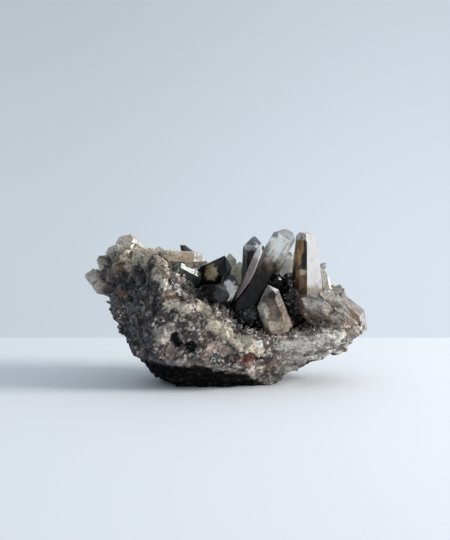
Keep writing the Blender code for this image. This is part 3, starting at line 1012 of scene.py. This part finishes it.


# The near-black patches that sink into the matrix are painted shade: the pits, the crack line, the back of
# the pocket under the tall crystals and the hollows on the left flank.
PIT_PAINTED_SHADE = shade(3, 3, 4)
PATCHES = (
    Patch((0.55, 0.13, 0.52), (5.0, 6.0, 4.0), shade(70, 68, 68), 0.75),
    Patch((0.703, 0.24, 0.495), (4.5, 5.0, 7.0), shade(26, 24, 25), 0.75, 0.4),
    Patch((0.37, 0.11, 0.665), (2.8, 6.0, 2.0), shade(20, 21, 20), 1.0, 0.5, end=(0.41, 0.11, 0.63)),
    Patch((0.27, 0.13, 0.72), (1.8, 6.0, 1.6), shade(224, 212, 196), 0.85, -0.4, end=(0.30, 0.13, 0.66)),
    Patch((0.31, 0.09, 0.56), (2.2, 6.0, 1.5), shade(232, 218, 200), 0.9, -0.5, end=(0.36, 0.09, 0.535)),
    Patch((0.31, 0.11, 0.625), (1.4, 6.0, 1.5), shade(214, 180, 150), 0.8),
    Patch((0.285, 0.11, 0.60), (1.5, 6.0, 0.7), shade(110, 76, 46), 0.9, 0.3, end=(0.32, 0.11, 0.605)),
    Patch((0.30, 0.09, 0.36), (5.5, 6.0, 3.2), shade(226, 218, 204), 0.45),
    Patch((0.325, 0.09, 0.34), (1.5, 6.0, 2.3), PIT_PAINTED_SHADE, 1.4, 1.7, ragged=1.0),
    Patch((0.350, 0.09, 0.375), (1.0, 6.0, 0.9), PIT_PAINTED_SHADE, 1.4, 1.0, ragged=1.0),
    Patch((0.378, 0.09, 0.275), (1.8, 6.0, 1.9), shade(8, 8, 10), 1.3, 1.4, ragged=1.0),
    Patch((0.271, 0.09, 0.438), (1.4, 5.0, 1.0), shade(30, 30, 34), 0.95, 0.8),
    Patch((0.43, 0.09, 0.36), (2.0, 6.0, 1.4), shade(84, 66, 52), 0.8, 0.4),
    Patch((0.415, 0.09, 0.55), (1.5, 6.0, 1.3), shade(230, 216, 190), 0.9, end=(0.46, 0.09, 0.42)),
    Patch((0.46, 0.09, 0.42), (2.8, 6.0, 2.3), shade(226, 212, 188), 0.9, end=(0.60, 0.07, 0.27)),
    Patch((0.566, 0.07, 0.215), (3.6, 6.0, 1.5), shade(80, 30, 19), 1.1, 0.5, ragged=0.8),
    Patch((0.585, 0.07, 0.18), (2.0, 6.0, 0.8), shade(188, 142, 114), 0.7),
    Patch((0.646, 0.09, 0.122), (1.0, 6.0, 0.9), shade(176, 140, 92), 0.7),
    Patch((0.455, 0.07, 0.285), (2.4, 6.0, 1.6), shade(206, 184, 168), 0.75, end=(0.49, 0.07, 0.26)),
    Patch((0.611, 0.07, 0.305), (1.2, 6.0, 1.2), shade(240, 238, 232), 0.95),
    Patch((0.143, 0.30, 0.841), (4.4, 8.0, 1.9), shade(236, 220, 192), 0.9),
    Patch((0.129, 0.28, 0.79), (1.3, 8.0, 2.2), shade(140, 96, 56), 0.65, ragged=0.8),
    Patch((0.137, 0.33, 0.595), (1.7, 8.0, 1.5), shade(140, 98, 58), 0.65, ragged=0.8),
    Patch((0.168, 0.30, 0.63), (2.0, 8.0, 4.0), shade(14, 15, 20), 0.9, 0.7, ragged=0.8),
    Patch((0.205, 0.25, 0.70), (1.2, 8.0, 3.0), shade(24, 24, 30), 0.8, 0.5, ragged=0.8),
    Patch((0.84, 0.20, 0.40), (5.0, 6.0, 1.2), shade(150, 120, 96), 0.6),
    Patch((0.72, 0.15, 0.27), (5.0, 6.0, 1.6), shade(238, 232, 222), 0.6, end=(0.86, 0.2, 0.33)),
)


@dataclass(frozen=True)
class Breakage:
    """Broken facets of one size, each tilted and stepped in its own way."""

    size: float
    relief: float
    tilt: Draw
    height: Draw
    step: float
    stretch: Point = (1.0, 1.0, 1.0)

    def cells(self, points: np.ndarray) -> Cells:
        """The facets around the points."""
        return Cells(points, self.size, self.stretch)

    def rise(self, cells: Cells) -> np.ndarray:
        """How far each point stands out, in metres."""
        return self.relief * (cells.lean(self.tilt) + self.step * (cells.lot(self.height) - 0.5))


@dataclass
class Regions:
    """How much each point of the matrix belongs to its parts, 0 to 1, and where the foot ends there."""

    flank: np.ndarray
    under: np.ndarray
    wing: np.ndarray
    ridge: np.ndarray
    edge: np.ndarray


@dataclass
class Crust:
    """The broken grains of the crust: their cells, the holes where grains fell out, and their heights."""

    cells: Cells
    lost: np.ndarray
    hole: np.ndarray
    bulge: np.ndarray
    groove: np.ndarray


@dataclass
class RockBody:
    """The matrix: a broken, vuggy crust of quartz grains, with painted shade on its foot, its left flank and
    its hollows.
    """

    finish: bpy.types.Material
    foot_finish: bpy.types.Material
    extent: Extent
    voxel: float = 0.42 * MM
    swell: float = 0.3 * MM
    relief_range: tuple[float, float] = (-2.4 * MM, 1.5 * MM)
    colour_range: tuple[float, float] = (0.003, 0.9)
    grain_size: float = 1.35 * MM
    grain_relief: float = 0.42 * MM
    hole_depth: float = 1.15
    groove_depth: float = 0.35
    blocks: Breakage = Breakage(4.4 * MM, 0.55 * MM, Draw.BLOCK_TILT, Draw.BLOCK_HEIGHT, 0.6)
    chips: Breakage = Breakage(0.8 * MM, 0.17 * MM, Draw.CHIP_TILT, Draw.CHIP_HEIGHT, 0.6)
    slivers: Breakage = Breakage(
        1.5 * MM, 0.55 * MM, Draw.SLIVER_TILT, Draw.SLIVER_HEIGHT, 0.7, (0.7, 1.0, 2.6)
    )
    plates: Breakage = Breakage(
        1.5 * MM, 0.42 * MM, Draw.PLATE_TILT, Draw.PLATE_HEIGHT, 0.8, (3.0, 1.6, 0.5)
    )
    crest: Colour = shade(232, 224, 208)
    middle: Colour = shade(182, 171, 159)
    dip_painted_shade: Colour = shade(76, 66, 64)
    brown_block: Colour = shade(164, 142, 128)
    grey_block: Colour = shade(96, 92, 92)
    ridge_cream: Colour = shade(214, 194, 168)
    hole_rim: Colour = shade(222, 216, 204)
    hole_painted_shade: Colour = shade(32, 28, 32)
    wing_pale: Colour = shade(236, 228, 218)
    wing_cloud: Colour = shade(122, 98, 88)
    lip_painted_highlight: Colour = shade(196, 186, 178)
    flank_painted_shade: Colour = shade(56, 57, 66)
    foot_painted_shade: Colour = shade(5, 6, 8)
    slow_waves: Waves = Waves(((0.45, 7.0 * MM, 11.0),))
    wing_waves: Waves = Waves(((1.0, 3.2 * MM, 21.0), (0.6, 1.3 * MM, 22.0)))
    flank_waves: Waves = Waves(((1.3, 3.4 * MM, 31.0),))

    def skin(self) -> bpy.types.Mesh:
        """Turns the CAD solid's surface into an even, fine mesh.

        Returns:
            The mesh.
        """
        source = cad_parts["matrix"].data.copy()
        rough = bpy.data.objects.new("rock_source", source)
        bpy.context.scene.collection.objects.link(rough)
        even = rough.modifiers.new("even", "REMESH")
        even.mode = "VOXEL"
        even.voxel_size = self.voxel
        bpy.context.view_layer.update()
        graph = bpy.context.evaluated_depsgraph_get()
        mesh = bpy.data.meshes.new_from_object(rough.evaluated_get(graph), depsgraph=graph)
        bpy.data.objects.remove(rough)
        bpy.data.meshes.remove(source)
        mesh.name = "rock_body"
        return mesh

    def build(self) -> bpy.types.Object:
        """Makes the piece.

        Returns:
            The piece.
        """
        mesh = self.skin()
        points = np.array([v.co for v in mesh.vertices])
        normals = np.array([v.normal for v in mesh.vertices])
        offset, colours, under = self.surface(Ground(points, normals, self.extent))
        offset = self.relaxed(np.clip(offset, *self.relief_range), mesh)
        moved = points + normals * offset[:, None]
        moved[:, 2] = np.maximum(moved[:, 2], 0.0)
        mesh.vertices.foreach_set("co", moved.astype(np.float32).ravel())
        paint(mesh, colours, "POINT")
        mesh.materials.clear()
        mesh.materials.append(self.finish)
        mesh.materials.append(self.foot_finish)
        for face in mesh.polygons:
            face.material_index = int(under[face.vertices[0]] > 0.5)
        mesh.shade_smooth()
        mesh.update()
        made = placed(mesh)
        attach(made, "root")
        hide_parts("matrix")
        return made

    @staticmethod
    def relaxed(values: np.ndarray, mesh: bpy.types.Mesh) -> np.ndarray:
        """Evens a value out with each point's neighbours, so that no facet ends in a spike.

        Args:
            values: One value for each point of the mesh.
            mesh: The mesh.

        Returns:
            The evened values.
        """
        ends = np.empty(len(mesh.edges) * 2, np.int32)
        mesh.edges.foreach_get("vertices", ends)
        first, second = ends.reshape(-1, 2).T
        total = np.zeros(len(values))
        count = np.zeros(len(values))
        for a, b in ((first, second), (second, first)):
            np.add.at(total, a, values[b])
            np.add.at(count, a, 1)
        return 0.5 * values + 0.5 * total / np.maximum(count, 1)

    @staticmethod
    def regions(ground: Ground) -> Regions:
        """Tells the steep left flank, the foot under the overhang, the pale right wing and the ridge apart.

        Args:
            ground: The matrix's points.

        Returns:
            How much each point belongs to each of them.
        """
        across, height = ground.shares[:, 0], ground.shares[:, 2]
        facing_right, facing_up = ground.normals[:, 0], ground.normals[:, 2]
        edge = 0.155 + 0.015 * ground.wander - 0.05 * smooth(across, 0.35, 0.55)
        edge -= 0.12 * smooth(across, 0.54, 0.67)
        # The foot is the lowest band and every face that looks down; surface paints it near black as shade.
        under = np.maximum(smooth(height, edge + 0.02, edge - 0.02), smooth(facing_up, -0.72, -0.92))
        # The flank holds the faces that look left, away from the key light; flank_colours paints them in
        # shade.
        return Regions(
            flank=smooth(facing_right, -0.25, -0.6) * smooth(across, 0.42, 0.3),
            under=under,
            wing=smooth(across, 0.66, 0.76) * (1 - under),
            ridge=smooth(height, 0.68, 0.8) * smooth(across, 0.46, 0.36),
            edge=edge,
        )

    def crust(self, points: np.ndarray, parts: Regions) -> Crust:
        """Breaks the crust into grains, some of which have fallen out.

        Args:
            points: The matrix's points.
            parts: The parts of the matrix.

        Returns:
            The grains.
        """
        grains = Cells(points, self.grain_size)
        lot = grains.lot(Draw.HOLE)
        lost = smooth(lot, 0.4, 0.5)
        hole = lost * smooth(grains.near, 0.46, 0.24) * (1 - 0.6 * parts.wing) * (1 - parts.flank)
        bulge = (1 - hole) * (0.5 * (lot - 0.5) + 0.7 * grains.lean(Draw.GRAIN_TILT))
        return Crust(grains, lost, hole, bulge, smooth(grains.rim, 0.16, 0.0) * (1 - lost))

    def surface(self, ground: Ground) -> tuple[np.ndarray, np.ndarray, np.ndarray]:
        """Relief and colour of the matrix.

        Args:
            ground: The matrix's points.

        Returns:
            How far each point moves out, in metres, its linear colour, and how much it is the foot, which is
            painted near black as shade.
        """
        points = ground.points
        parts = self.regions(ground)
        crust = self.crust(points, parts)
        blocks, chips = self.blocks.cells(points), self.chips.cells(points)
        slivers, plates = self.slivers.cells(points), self.plates.cells(points)
        rough = 1 - 0.35 * parts.wing - 0.6 * parts.under
        grains = crust.bulge - self.hole_depth * crust.hole - self.groove_depth * crust.groove
        offset = self.swell + self.blocks.rise(blocks) + rough * self.chips.rise(chips)
        offset += self.grain_relief * rough * grains * (1 - 0.7 * parts.flank)
        offset += parts.flank * self.slivers.rise(slivers)
        offset += (parts.under + 0.7 * parts.wing) * self.plates.rise(plates)
        raised = 0.5 + 0.9 * crust.bulge + 0.5 * chips.lean(Draw.CHIP_TILT) - 0.9 * crust.groove
        raised = np.clip(raised, 0, 1)
        colours = self.crust_colours(raised, blocks, chips, crust, parts, points)
        colours = self.wing_colours(colours, blocks, plates, parts, ground)
        colours = self.flank_colours(colours, slivers, parts, points)
        for patch in PATCHES:
            weight = patch.weight(ground)
            share = np.clip(weight * patch.share * (0.75 + 0.25 * raised), 0, 1)
            colours = blend_to(colours, patch.colour, share)
            offset -= patch.sink * MM * weight
        # Painted shade: the foot is darkened to near black, a little different on each flake.
        layers = 0.3 + 1.8 * plates.lot(Draw.FOOT_PLATE) ** 2
        black = np.array(self.foot_painted_shade)[None, :] * layers[:, None]
        colours += (black - colours) * (0.94 * parts.under)[:, None]
        return offset, np.clip(colours, *self.colour_range), parts.under

    def crust_colours(
        self, raised: np.ndarray, blocks: Cells, chips: Cells, crust: Crust, parts: Regions,
        points: np.ndarray,
    ) -> np.ndarray:
        """Pale crests and dips darkened with painted shade, with some brown and grey blocks, and pale rims
        round holes darkened with painted shade.

        Args:
            raised: How much each point stands out, 0 to 1.
            blocks: The large broken blocks.
            chips: The small chips.
            crust: The grains.
            parts: The parts of the matrix.
            points: Its points.

        Returns:
            One linear colour a row.
        """
        colours = np.tile(np.array(self.middle), (len(points), 1))
        crest = smooth(raised + 0.5 * (chips.lot(Draw.CREST_CHIP) - 0.5), 0.5, 0.85)
        # Painted shade: the low points of the relief are darkened.
        dip_painted_shade = smooth(raised + 0.6 * (chips.lot(Draw.DEEP_CHIP) - 0.5), 0.4, 0.12)
        colours = blend_to(blend_to(colours, self.crest, crest), self.dip_painted_shade, dip_painted_shade)
        brown = smooth(blocks.lot(Draw.BROWN_BLOCK), 0.6, 0.75)
        grey = smooth(blocks.lot(Draw.GREY_BLOCK), 0.7, 0.8)
        colours = blend_to(blend_to(colours, self.brown_block, 0.4 * brown), self.grey_block, 0.3 * grey)
        colours *= (1 + self.slow_waves.at(points))[:, None]
        colours = blend_to(colours, self.ridge_cream, 0.5 * parts.ridge)
        near = crust.cells.near
        rim = smooth(near, 0.3, 0.42) * smooth(near, 0.56, 0.46) * crust.lost
        colours = blend_to(colours, self.hole_rim, 0.7 * rim * (1 - parts.flank))
        # Painted shade in the sunk holes where grains fell out.
        return blend_to(colours, self.hole_painted_shade, 0.94 * crust.hole)

    def wing_colours(
        self, colours: np.ndarray, blocks: Cells, plates: Cells, parts: Regions, ground: Ground
    ) -> np.ndarray:
        """Makes the right wing pale and flaky, and paints a light grey highlight along the lip over the foot.

        Args:
            colours: The colours so far.
            blocks: The large broken blocks.
            plates: The thin flakes.
            parts: The parts of the matrix.
            ground: Its points.

        Returns:
            The changed colours.
        """
        pale = 0.8 * parts.wing * (0.7 + 0.3 * blocks.lot(Draw.WING_BLOCK))
        colours = blend_to(colours, self.wing_pale, pale)
        cloudy = smooth(self.wing_waves.at(ground.points), 0.1, 0.45)
        colours = blend_to(colours, self.wing_cloud, 0.6 * parts.wing * cloudy)
        colours *= (1 + 0.5 * parts.wing * (plates.lot(Draw.WING_PLATE) - 0.5))[:, None]
        height, edge = ground.shares[:, 2], parts.edge
        # Painted highlight: a light grey band along the top edge of the foot.
        lip = smooth(height, edge, edge + 0.012) * smooth(height, edge + 0.05, edge + 0.02)
        return blend_to(colours, self.lip_painted_highlight, 0.4 * lip)

    def flank_colours(
        self, colours: np.ndarray, slivers: Cells, parts: Regions, points: np.ndarray
    ) -> np.ndarray:
        """Paints shade on the left flank, which faces away from the key light, with each sliver a little
        different in tone.

        Args:
            colours: The colours so far.
            slivers: The upright splinters.
            parts: The parts of the matrix.
            points: Its points.

        Returns:
            The changed colours.
        """
        # Painted shade on the left-facing flank; each sliver's own random tone makes some of it lighter.
        glimmer = 0.2 + 1.9 * np.abs(slivers.lot(Draw.FLANK_SLIVER)) ** 1.6
        glimmer = glimmer * np.clip(1 + self.flank_waves.at(points), 0.2, 2.2)
        dark = np.array(self.flank_painted_shade)[None, :] * glimmer[:, None]
        return colours + (dark - colours) * (0.85 * parts.flank)[:, None]


@dataclass(frozen=True)
class DruseField:
    """A scatter of small quartz points on the matrix.

    The region takes each candidate's place, as shares of the cluster's box, and its normal, and gives how
    likely it is to be kept.
    """

    name: str
    kind: Kind
    count: int
    width: tuple[float, float]
    height: tuple[float, float]
    region: Callable[[np.ndarray, np.ndarray], np.ndarray]
    colours: tuple[Colour, ...]
    like_ground: float = 0.5
    hosts: tuple[str, ...] = ("rock_body",)
    upright: float = 0.35
    unruly: float = 0.45
    seed: int = 1
    slimness: tuple[float, float] = (1.6, 3.2)
    width_part: float = 0.6
    sunk: float = 0.35
    brightness: tuple[float, float] = (0.7, 1.35)
    root_shade: float = 0.75
    brightest: float = 0.95

    def ground(self) -> tuple[np.ndarray, np.ndarray, np.ndarray, np.ndarray]:
        """Gathers the faces that the field stands on.

        Returns:
            Their middles, normals, areas and colours, one face a row.
        """
        middles, normals, areas, tints = [], [], [], []
        for name in self.hosts:
            mesh = bpy.data.objects[name].data
            tint = mesh.attributes["tint"]
            for face in mesh.polygons:
                middles.append(face.center)
                normals.append(face.normal)
                areas.append(face.area)
                at = face.vertices[0]
                if tint.domain == "CORNER":
                    at = min(face.loop_indices, key=lambda corner: mesh.loops[corner].vertex_index)
                tints.append(tint.data[at].color[:3])
        return np.array(middles), np.array(normals), np.array(areas), np.array(tints)

    def build(self, finish: bpy.types.Material, extent: Extent) -> bpy.types.Object:
        """Makes the piece.

        Args:
            finish: The material of its points.
            extent: The box that the region's shares are of.

        Returns:
            One object that holds every point of the field.
        """
        draw = np.random.default_rng(self.seed)
        middles, normals, areas, ground_tints = self.ground()
        odds = self.region(extent.shares(middles), normals) * areas
        odds = odds / odds.sum()
        picked = draw.choice(len(middles), size=min(self.count, int((odds > 0).sum())), replace=False, p=odds)
        thin, wide = self.width
        short, tall = self.height
        points, faces, tints, lines = [], [], [], []
        for place, normal, under in zip(middles[picked], normals[picked], ground_tints[picked]):
            growth = normal + draw.normal(0, self.unruly, 3) + np.array((0, 0, self.upright))
            growth /= np.linalg.norm(growth)
            slim = draw.beta(*self.slimness)
            width = thin + (wide - thin) * slim
            rise = self.width_part * slim + (1 - self.width_part) * draw.random()
            shape = self.point(draw, width, short + (tall - short) * rise)
            turned = np.array(Vector(growth).to_track_quat("Z", "Y").to_matrix())
            start = len(points)
            points.extend((place - growth * self.sunk * width) + shape @ turned.T)
            faces.extend([start + corner for corner in face] for face in POINT_FACES)
            own = np.array(self.colours[draw.integers(len(self.colours))])
            colour = (own + (under - own) * self.like_ground) * draw.uniform(*self.brightness)
            root = colour * self.root_shade
            tints.extend(root if corner < POINT_SIDES else colour for face in POINT_FACES for corner in face)
            lines.extend(shape[:, 2] / MM)
        mesh = bpy.data.meshes.new(self.name)
        mesh.from_pydata(points, [], faces)
        paint(mesh, np.clip(tints, 0, self.brightest), "CORNER")
        mark_along(mesh, np.array(lines))
        mesh.materials.append(finish)
        made = placed(mesh)
        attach(made, "root")
        return made

    @staticmethod
    def point(draw: np.random.Generator, width: float, tall: float) -> np.ndarray:
        """The corners of one six-sided point: its base ring, its shoulder ring and its tip.

        Args:
            draw: The random numbers.
            width: Across the prism.
            tall: From base to tip.

        Returns:
            Thirteen corners, one a row.
        """
        turn = draw.random() * math.tau
        squash = draw.uniform(0.65, 1.0)
        cap = min(0.62 * width, 0.6 * tall)
        corners = []
        for ring, (z, wide) in enumerate(((0.0, 0.48), (tall - cap, 0.44))):
            for i in range(POINT_SIDES):
                angle = turn + i * math.tau / POINT_SIDES
                x, y = math.cos(angle) * wide * width, math.sin(angle) * wide * width * squash
                corners.append((x, y, z - 0.14 * cap * (i % 2) * ring))
        corners.append((draw.uniform(-0.12, 0.12) * width, draw.uniform(-0.12, 0.12) * width, tall))
        return np.array(corners)


POINT_SIDES = 6
POINT_TIP = 2 * POINT_SIDES
POINT_FACES = (
    *((i, (i + 1) % POINT_SIDES, POINT_SIDES + (i + 1) % POINT_SIDES, POINT_SIDES + i)
      for i in range(POINT_SIDES)),
    *((POINT_SIDES + i, POINT_SIDES + (i + 1) % POINT_SIDES, POINT_TIP) for i in range(POINT_SIDES)),
    tuple(reversed(range(POINT_SIDES))),
)


def anywhere(shares: np.ndarray, normals: np.ndarray) -> np.ndarray:
    """All of the host pieces."""
    return np.ones(len(shares))


def ridge_end(shares: np.ndarray, normals: np.ndarray) -> np.ndarray:
    """The left end of the ridge slab, where it grows out of the matrix."""
    return smooth(shares[:, 0], 0.36, 0.24) + 0.25 * smooth(normals[:, 2], 0.0, -0.4)


def top_of_rock(shares: np.ndarray, normals: np.ndarray) -> np.ndarray:
    """The upper side of the matrix, between and behind the large crystals."""
    inward = 0.2 + 0.8 * smooth(shares[:, 1], 0.15, 0.35)
    return smooth(normals[:, 2], 0.15, 0.6) * smooth(shares[:, 2], 0.3, 0.42) * inward


def back_of_rock(shares: np.ndarray, normals: np.ndarray) -> np.ndarray:
    """The back slope of the matrix, above its foot."""
    return smooth(normals[:, 1], 0.1, 0.5) * smooth(shares[:, 2], 0.18, 0.3)


def pocket_of_rock(shares: np.ndarray, normals: np.ndarray) -> np.ndarray:
    """The dark pocket at the front, under the tall crystals.

    Args:
        shares: Places as shares of the cluster's box.
        normals: The surface's normals there.

    Returns:
        1 in the pocket and 0 elsewhere.
    """
    middle = np.abs(shares[:, 0] - 0.63) < 0.11
    level = (shares[:, 2] > 0.36) & (shares[:, 2] < 0.72)
    return (middle & level & (normals[:, 1] < 0.3)).astype(float)


def front_of_rock(shares: np.ndarray, normals: np.ndarray) -> np.ndarray:
    """The crust on the front and the sides, above the foot."""
    return smooth(normals[:, 1], 0.2, -0.2) * smooth(shares[:, 2], 0.19, 0.24) * (normals[:, 2] < 0.75)


def left_flank_of_rock(shares: np.ndarray, normals: np.ndarray) -> np.ndarray:
    """The steep left side."""
    return smooth(normals[:, 0], -0.3, -0.7) * smooth(shares[:, 2], 0.2, 0.3) * (shares[:, 0] < 0.4)


def numbered(name: str, first: int, last: int) -> tuple[str, ...]:
    """The names of a row of numbered pieces."""
    return tuple(f"{name}_{number}" for number in range(first, last + 1))


PALE_GRAINS = (shade(226, 220, 208), shade(176, 168, 158), shade(120, 112, 108), shade(206, 200, 194))
# Dark grains, with one pale grey among them as painted glints.
DARK_AND_GLINT_GRAINS = (
    shade(16, 16, 18), shade(28, 27, 29), shade(176, 174, 170), shade(70, 62, 56), shade(52, 46, 42),
)
# Dark grains, with one mid grey among them as painted glints.
CLUMP_AND_GLINT_GRAINS = (
    shade(12, 12, 13), shade(22, 21, 23), shade(40, 38, 38), shade(120, 118, 116), shade(18, 17, 18),
)

DRUSE_FIELDS = (
    DruseField(
        "top_druse", Kind.CLEAR, 2600, (0.5 * MM, 2.2 * MM), (0.6 * MM, 3.4 * MM), top_of_rock,
        PALE_GRAINS, seed=11,
    ),
    DruseField(
        "back_druse", Kind.SMOKY, 2600, (0.6 * MM, 2.8 * MM), (0.7 * MM, 3.8 * MM), back_of_rock,
        (shade(92, 84, 78), shade(140, 132, 122), shade(180, 172, 160), shade(60, 56, 56)),
        like_ground=0.3, upright=0.6, unruly=0.4, seed=12,
    ),
    DruseField(
        "pocket_druse", Kind.SMOKY, 900, (0.5 * MM, 1.5 * MM), (0.6 * MM, 2.0 * MM), pocket_of_rock,
        DARK_AND_GLINT_GRAINS, like_ground=0.2, seed=13,
    ),
    DruseField(
        "clump_druse", Kind.SMOKY, 900, (0.5 * MM, 2.0 * MM), (0.5 * MM, 1.9 * MM), anywhere,
        CLUMP_AND_GLINT_GRAINS, like_ground=0.0, unruly=0.8, seed=16,
        hosts=(*numbered("dark_clump_quartz", 1, 4), "brown_recess_quartz"),
    ),
    DruseField(
        "shelf_druse", Kind.CLEAR, 260, (0.4 * MM, 1.6 * MM), (0.4 * MM, 1.4 * MM), anywhere,
        PALE_GRAINS, like_ground=0.7, unruly=0.7, seed=17,
        hosts=(*numbered("right_chunk_quartz", 1, 3), *numbered("pale_back_quartz", 4, 5)),
    ),
    DruseField(
        "left_druse", Kind.MILKY, 420, (0.4 * MM, 1.8 * MM), (0.3 * MM, 1.2 * MM), anywhere,
        (shade(246, 232, 214), shade(232, 212, 188), shade(246, 242, 236), shade(206, 188, 170)),
        like_ground=0.75, unruly=0.7, seed=18,
        hosts=(*numbered("left_back_quartz", 1, 3), *numbered("left_tip_quartz", 1, 3)),
    ),
    DruseField(
        "ridge_druse", Kind.MILKY, 220, (0.4 * MM, 1.3 * MM), (0.4 * MM, 1.1 * MM), ridge_end,
        (shade(236, 222, 196), shade(214, 198, 170), shade(180, 164, 144)), like_ground=0.3, unruly=0.7,
        seed=19, hosts=("ridge_slab_quartz",),
    ),
    DruseField(
        "front_grains", Kind.MILKY, 420, (0.4 * MM, 1.2 * MM), (0.25 * MM, 0.6 * MM), front_of_rock,
        PALE_GRAINS, like_ground=0.85, upright=0.1, unruly=0.6, seed=14,
    ),
    DruseField(
        "flank_spurs", Kind.SMOKY, 260, (0.6 * MM, 1.9 * MM), (0.5 * MM, 1.7 * MM), left_flank_of_rock,
        (shade(70, 66, 72), shade(40, 38, 42), shade(140, 134, 134)), upright=-0.4, unruly=0.35, seed=15,
    ),
)


@dataclass
class Studio:
    """The pale table, the daylight from the right, the soft surroundings and the camera."""

    table_depth: float = 1.2
    table_back: float = 0.088
    table_width: float = 2.4
    rim: float = 0.006
    table_colour: Colour = shade(228, 230, 233)
    key_place: Point = (0.62, -0.06, 0.30)
    key_size: float = 0.26
    key_power: float = 5.0
    camera_aim: Point = (-0.00052, -0.00198, 0.0351)
    camera_distance: float = 0.47368
    camera_tilt: float = math.radians(6.5)
    lens: float = 100.0
    sensor: float = 36.0
    clip: tuple[float, float] = (0.01, 20.0)
    rim_steps: int = 8
    skirt: float = 0.03
    table_grain: float = 1 / 1400.0
    table_tones: Stops = ((0.3, 0.985), (0.7, 1.0))
    table_roughness: float = 0.75
    key_aim: Point = (0.0, 0.0, 0.02)
    key_colour: Colour = (1.0, 0.98, 0.95)
    sky_colour: Colour = shade(210, 220, 230)
    sky_levels: tuple[tuple[str, float, float, float, float], ...] = (
        ("X", -0.16, 0.16, 0.86, 1.05),
        ("Z", -0.12, 0.14, 1.04, 0.84),
        ("Y", -0.7, 0.5, 0.55, 1.0),
        ("Z", 0.12, 0.5, 1.0, 1.4),
    )

    def table(self) -> bpy.types.Object:
        """Makes the table top, with a rounded far edge.

        Returns:
            The table top.
        """
        section = [(-self.table_depth, 0.0)]
        for step in range(self.rim_steps + 1):
            angle = step / self.rim_steps * math.pi / 2
            section.append((
                self.table_back - self.rim + self.rim * math.sin(angle),
                -self.rim + self.rim * math.cos(angle),
            ))
        section.append((self.table_back, -self.skirt))
        half = self.table_width / 2
        points = [(x, y, z) for x in (-half, half) for y, z in section]
        count = len(section)
        faces = [(i, count + i, count + i + 1, i + 1) for i in range(count - 1)]
        mesh = bpy.data.meshes.new("table_top")
        mesh.from_pydata(points, [], faces)
        bench = Bench("table_finish")
        place = bench.add("TexCoord").outputs["Object"]
        grain = bench.noise(place, self.table_grain, 2.0)
        tone = bench.ramp(grain.outputs["Fac"], self.table_tones)
        bench.join(
            bench.mixed("MULTIPLY", 1.0, self.table_colour, tone), bench.shader.inputs["Base Color"]
        )
        bench.shader.inputs["Roughness"].default_value = self.table_roughness
        mesh.materials.append(bench.material)
        made = placed(mesh)
        made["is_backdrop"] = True
        return made

    def surroundings(self) -> None:
        """Soft light from all round, brighter at the right and behind, as from a white room."""
        world = bpy.data.worlds.new("white_room")
        bpy.context.scene.world = world
        world.use_nodes = True
        tree = world.node_tree
        place = tree.nodes.new("ShaderNodeTexCoord")
        split = tree.nodes.new("ShaderNodeSeparateXYZ")
        tree.links.new(place.outputs["Generated"], split.inputs["Vector"])
        levels = []
        for axis, low, high, dim, lit in self.sky_levels:
            level = tree.nodes.new("ShaderNodeMapRange")
            level.interpolation_type = "SMOOTHSTEP"
            for key, value in (("From Min", low), ("From Max", high), ("To Min", dim), ("To Max", lit)):
                level.inputs[key].default_value = value
            tree.links.new(split.outputs[axis], level.inputs["Value"])
            levels.append(level.outputs["Result"])
        strength = levels[0]
        for level in levels[1:]:
            product = tree.nodes.new("ShaderNodeMath")
            product.operation = "MULTIPLY"
            tree.links.new(strength, product.inputs[0])
            tree.links.new(level, product.inputs[1])
            strength = product.outputs["Value"]
        background = tree.nodes["Background"]
        background.inputs["Color"].default_value = (*self.sky_colour, 1.0)
        tree.links.new(strength, background.inputs["Strength"])

    def key_light(self) -> None:
        """The low daylight from the right."""
        lamp = bpy.data.lights.new("daylight", "AREA")
        lamp.shape = "SQUARE"
        lamp.size = self.key_size
        lamp.energy = self.key_power
        lamp.color = self.key_colour
        made = bpy.data.objects.new("daylight", lamp)
        made.location = self.key_place
        toward = Vector(self.key_aim) - Vector(self.key_place)
        made.rotation_euler = toward.to_track_quat("-Z", "Y").to_euler()
        bpy.context.scene.collection.objects.link(made)

    def camera(self) -> None:
        """The camera, a little above the table and straight in front."""
        lens = bpy.data.cameras.new("front_camera")
        lens.lens = self.lens
        lens.sensor_width = self.sensor
        lens.sensor_fit = "AUTO"
        lens.clip_start, lens.clip_end = self.clip
        ahead = Vector((0, math.cos(self.camera_tilt), -math.sin(self.camera_tilt)))
        made = bpy.data.objects.new("front_camera", lens)
        made.location = Vector(self.camera_aim) - ahead * self.camera_distance
        made.rotation_euler = ahead.to_track_quat("-Z", "Y").to_euler()
        bpy.context.scene.collection.objects.link(made)
        bpy.context.scene.camera = made

    def build(self) -> None:
        """Sets up the whole studio."""
        self.table()
        self.surroundings()
        self.key_light()
        self.camera()
        bpy.context.scene.view_settings.view_transform = "Standard"


def main() -> None:
    """Builds the studio, the matrix, its crystals and its druse, and reports each piece."""
    logging.basicConfig(level=logging.INFO, format="%(name)s: %(message)s")
    cad_low, cad_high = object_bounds()
    extent = Extent(np.array(cad_low), np.array(cad_high))
    Studio().build()
    rock = RockBody(RockFinish().material(), FootFinish().material(), extent).build()
    LOG.info("%s: %d faces", rock.name, len(rock.data.polygons))
    finishes = {kind: finish.material() for kind, finish in QUARTZ_FINISHES.items()}
    for node, solid in sorted(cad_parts.items()):
        if node == "matrix":
            continue
        kind = Kind(solid.data.materials[0].name)
        dress = CRYSTAL_TINTS.get(node, KIND_TINTS[kind]).dressed_as or kind
        made = CrystalPiece(node, finishes[dress], kind).build()
        LOG.info("%s: %d faces", made.name, len(made.data.polygons))
    for druse in DRUSE_FIELDS:
        made = druse.build(finishes[druse.kind], extent)
        LOG.info("%s: %d faces", made.name, len(made.data.polygons))


if __name__ == "__main__":
    main()
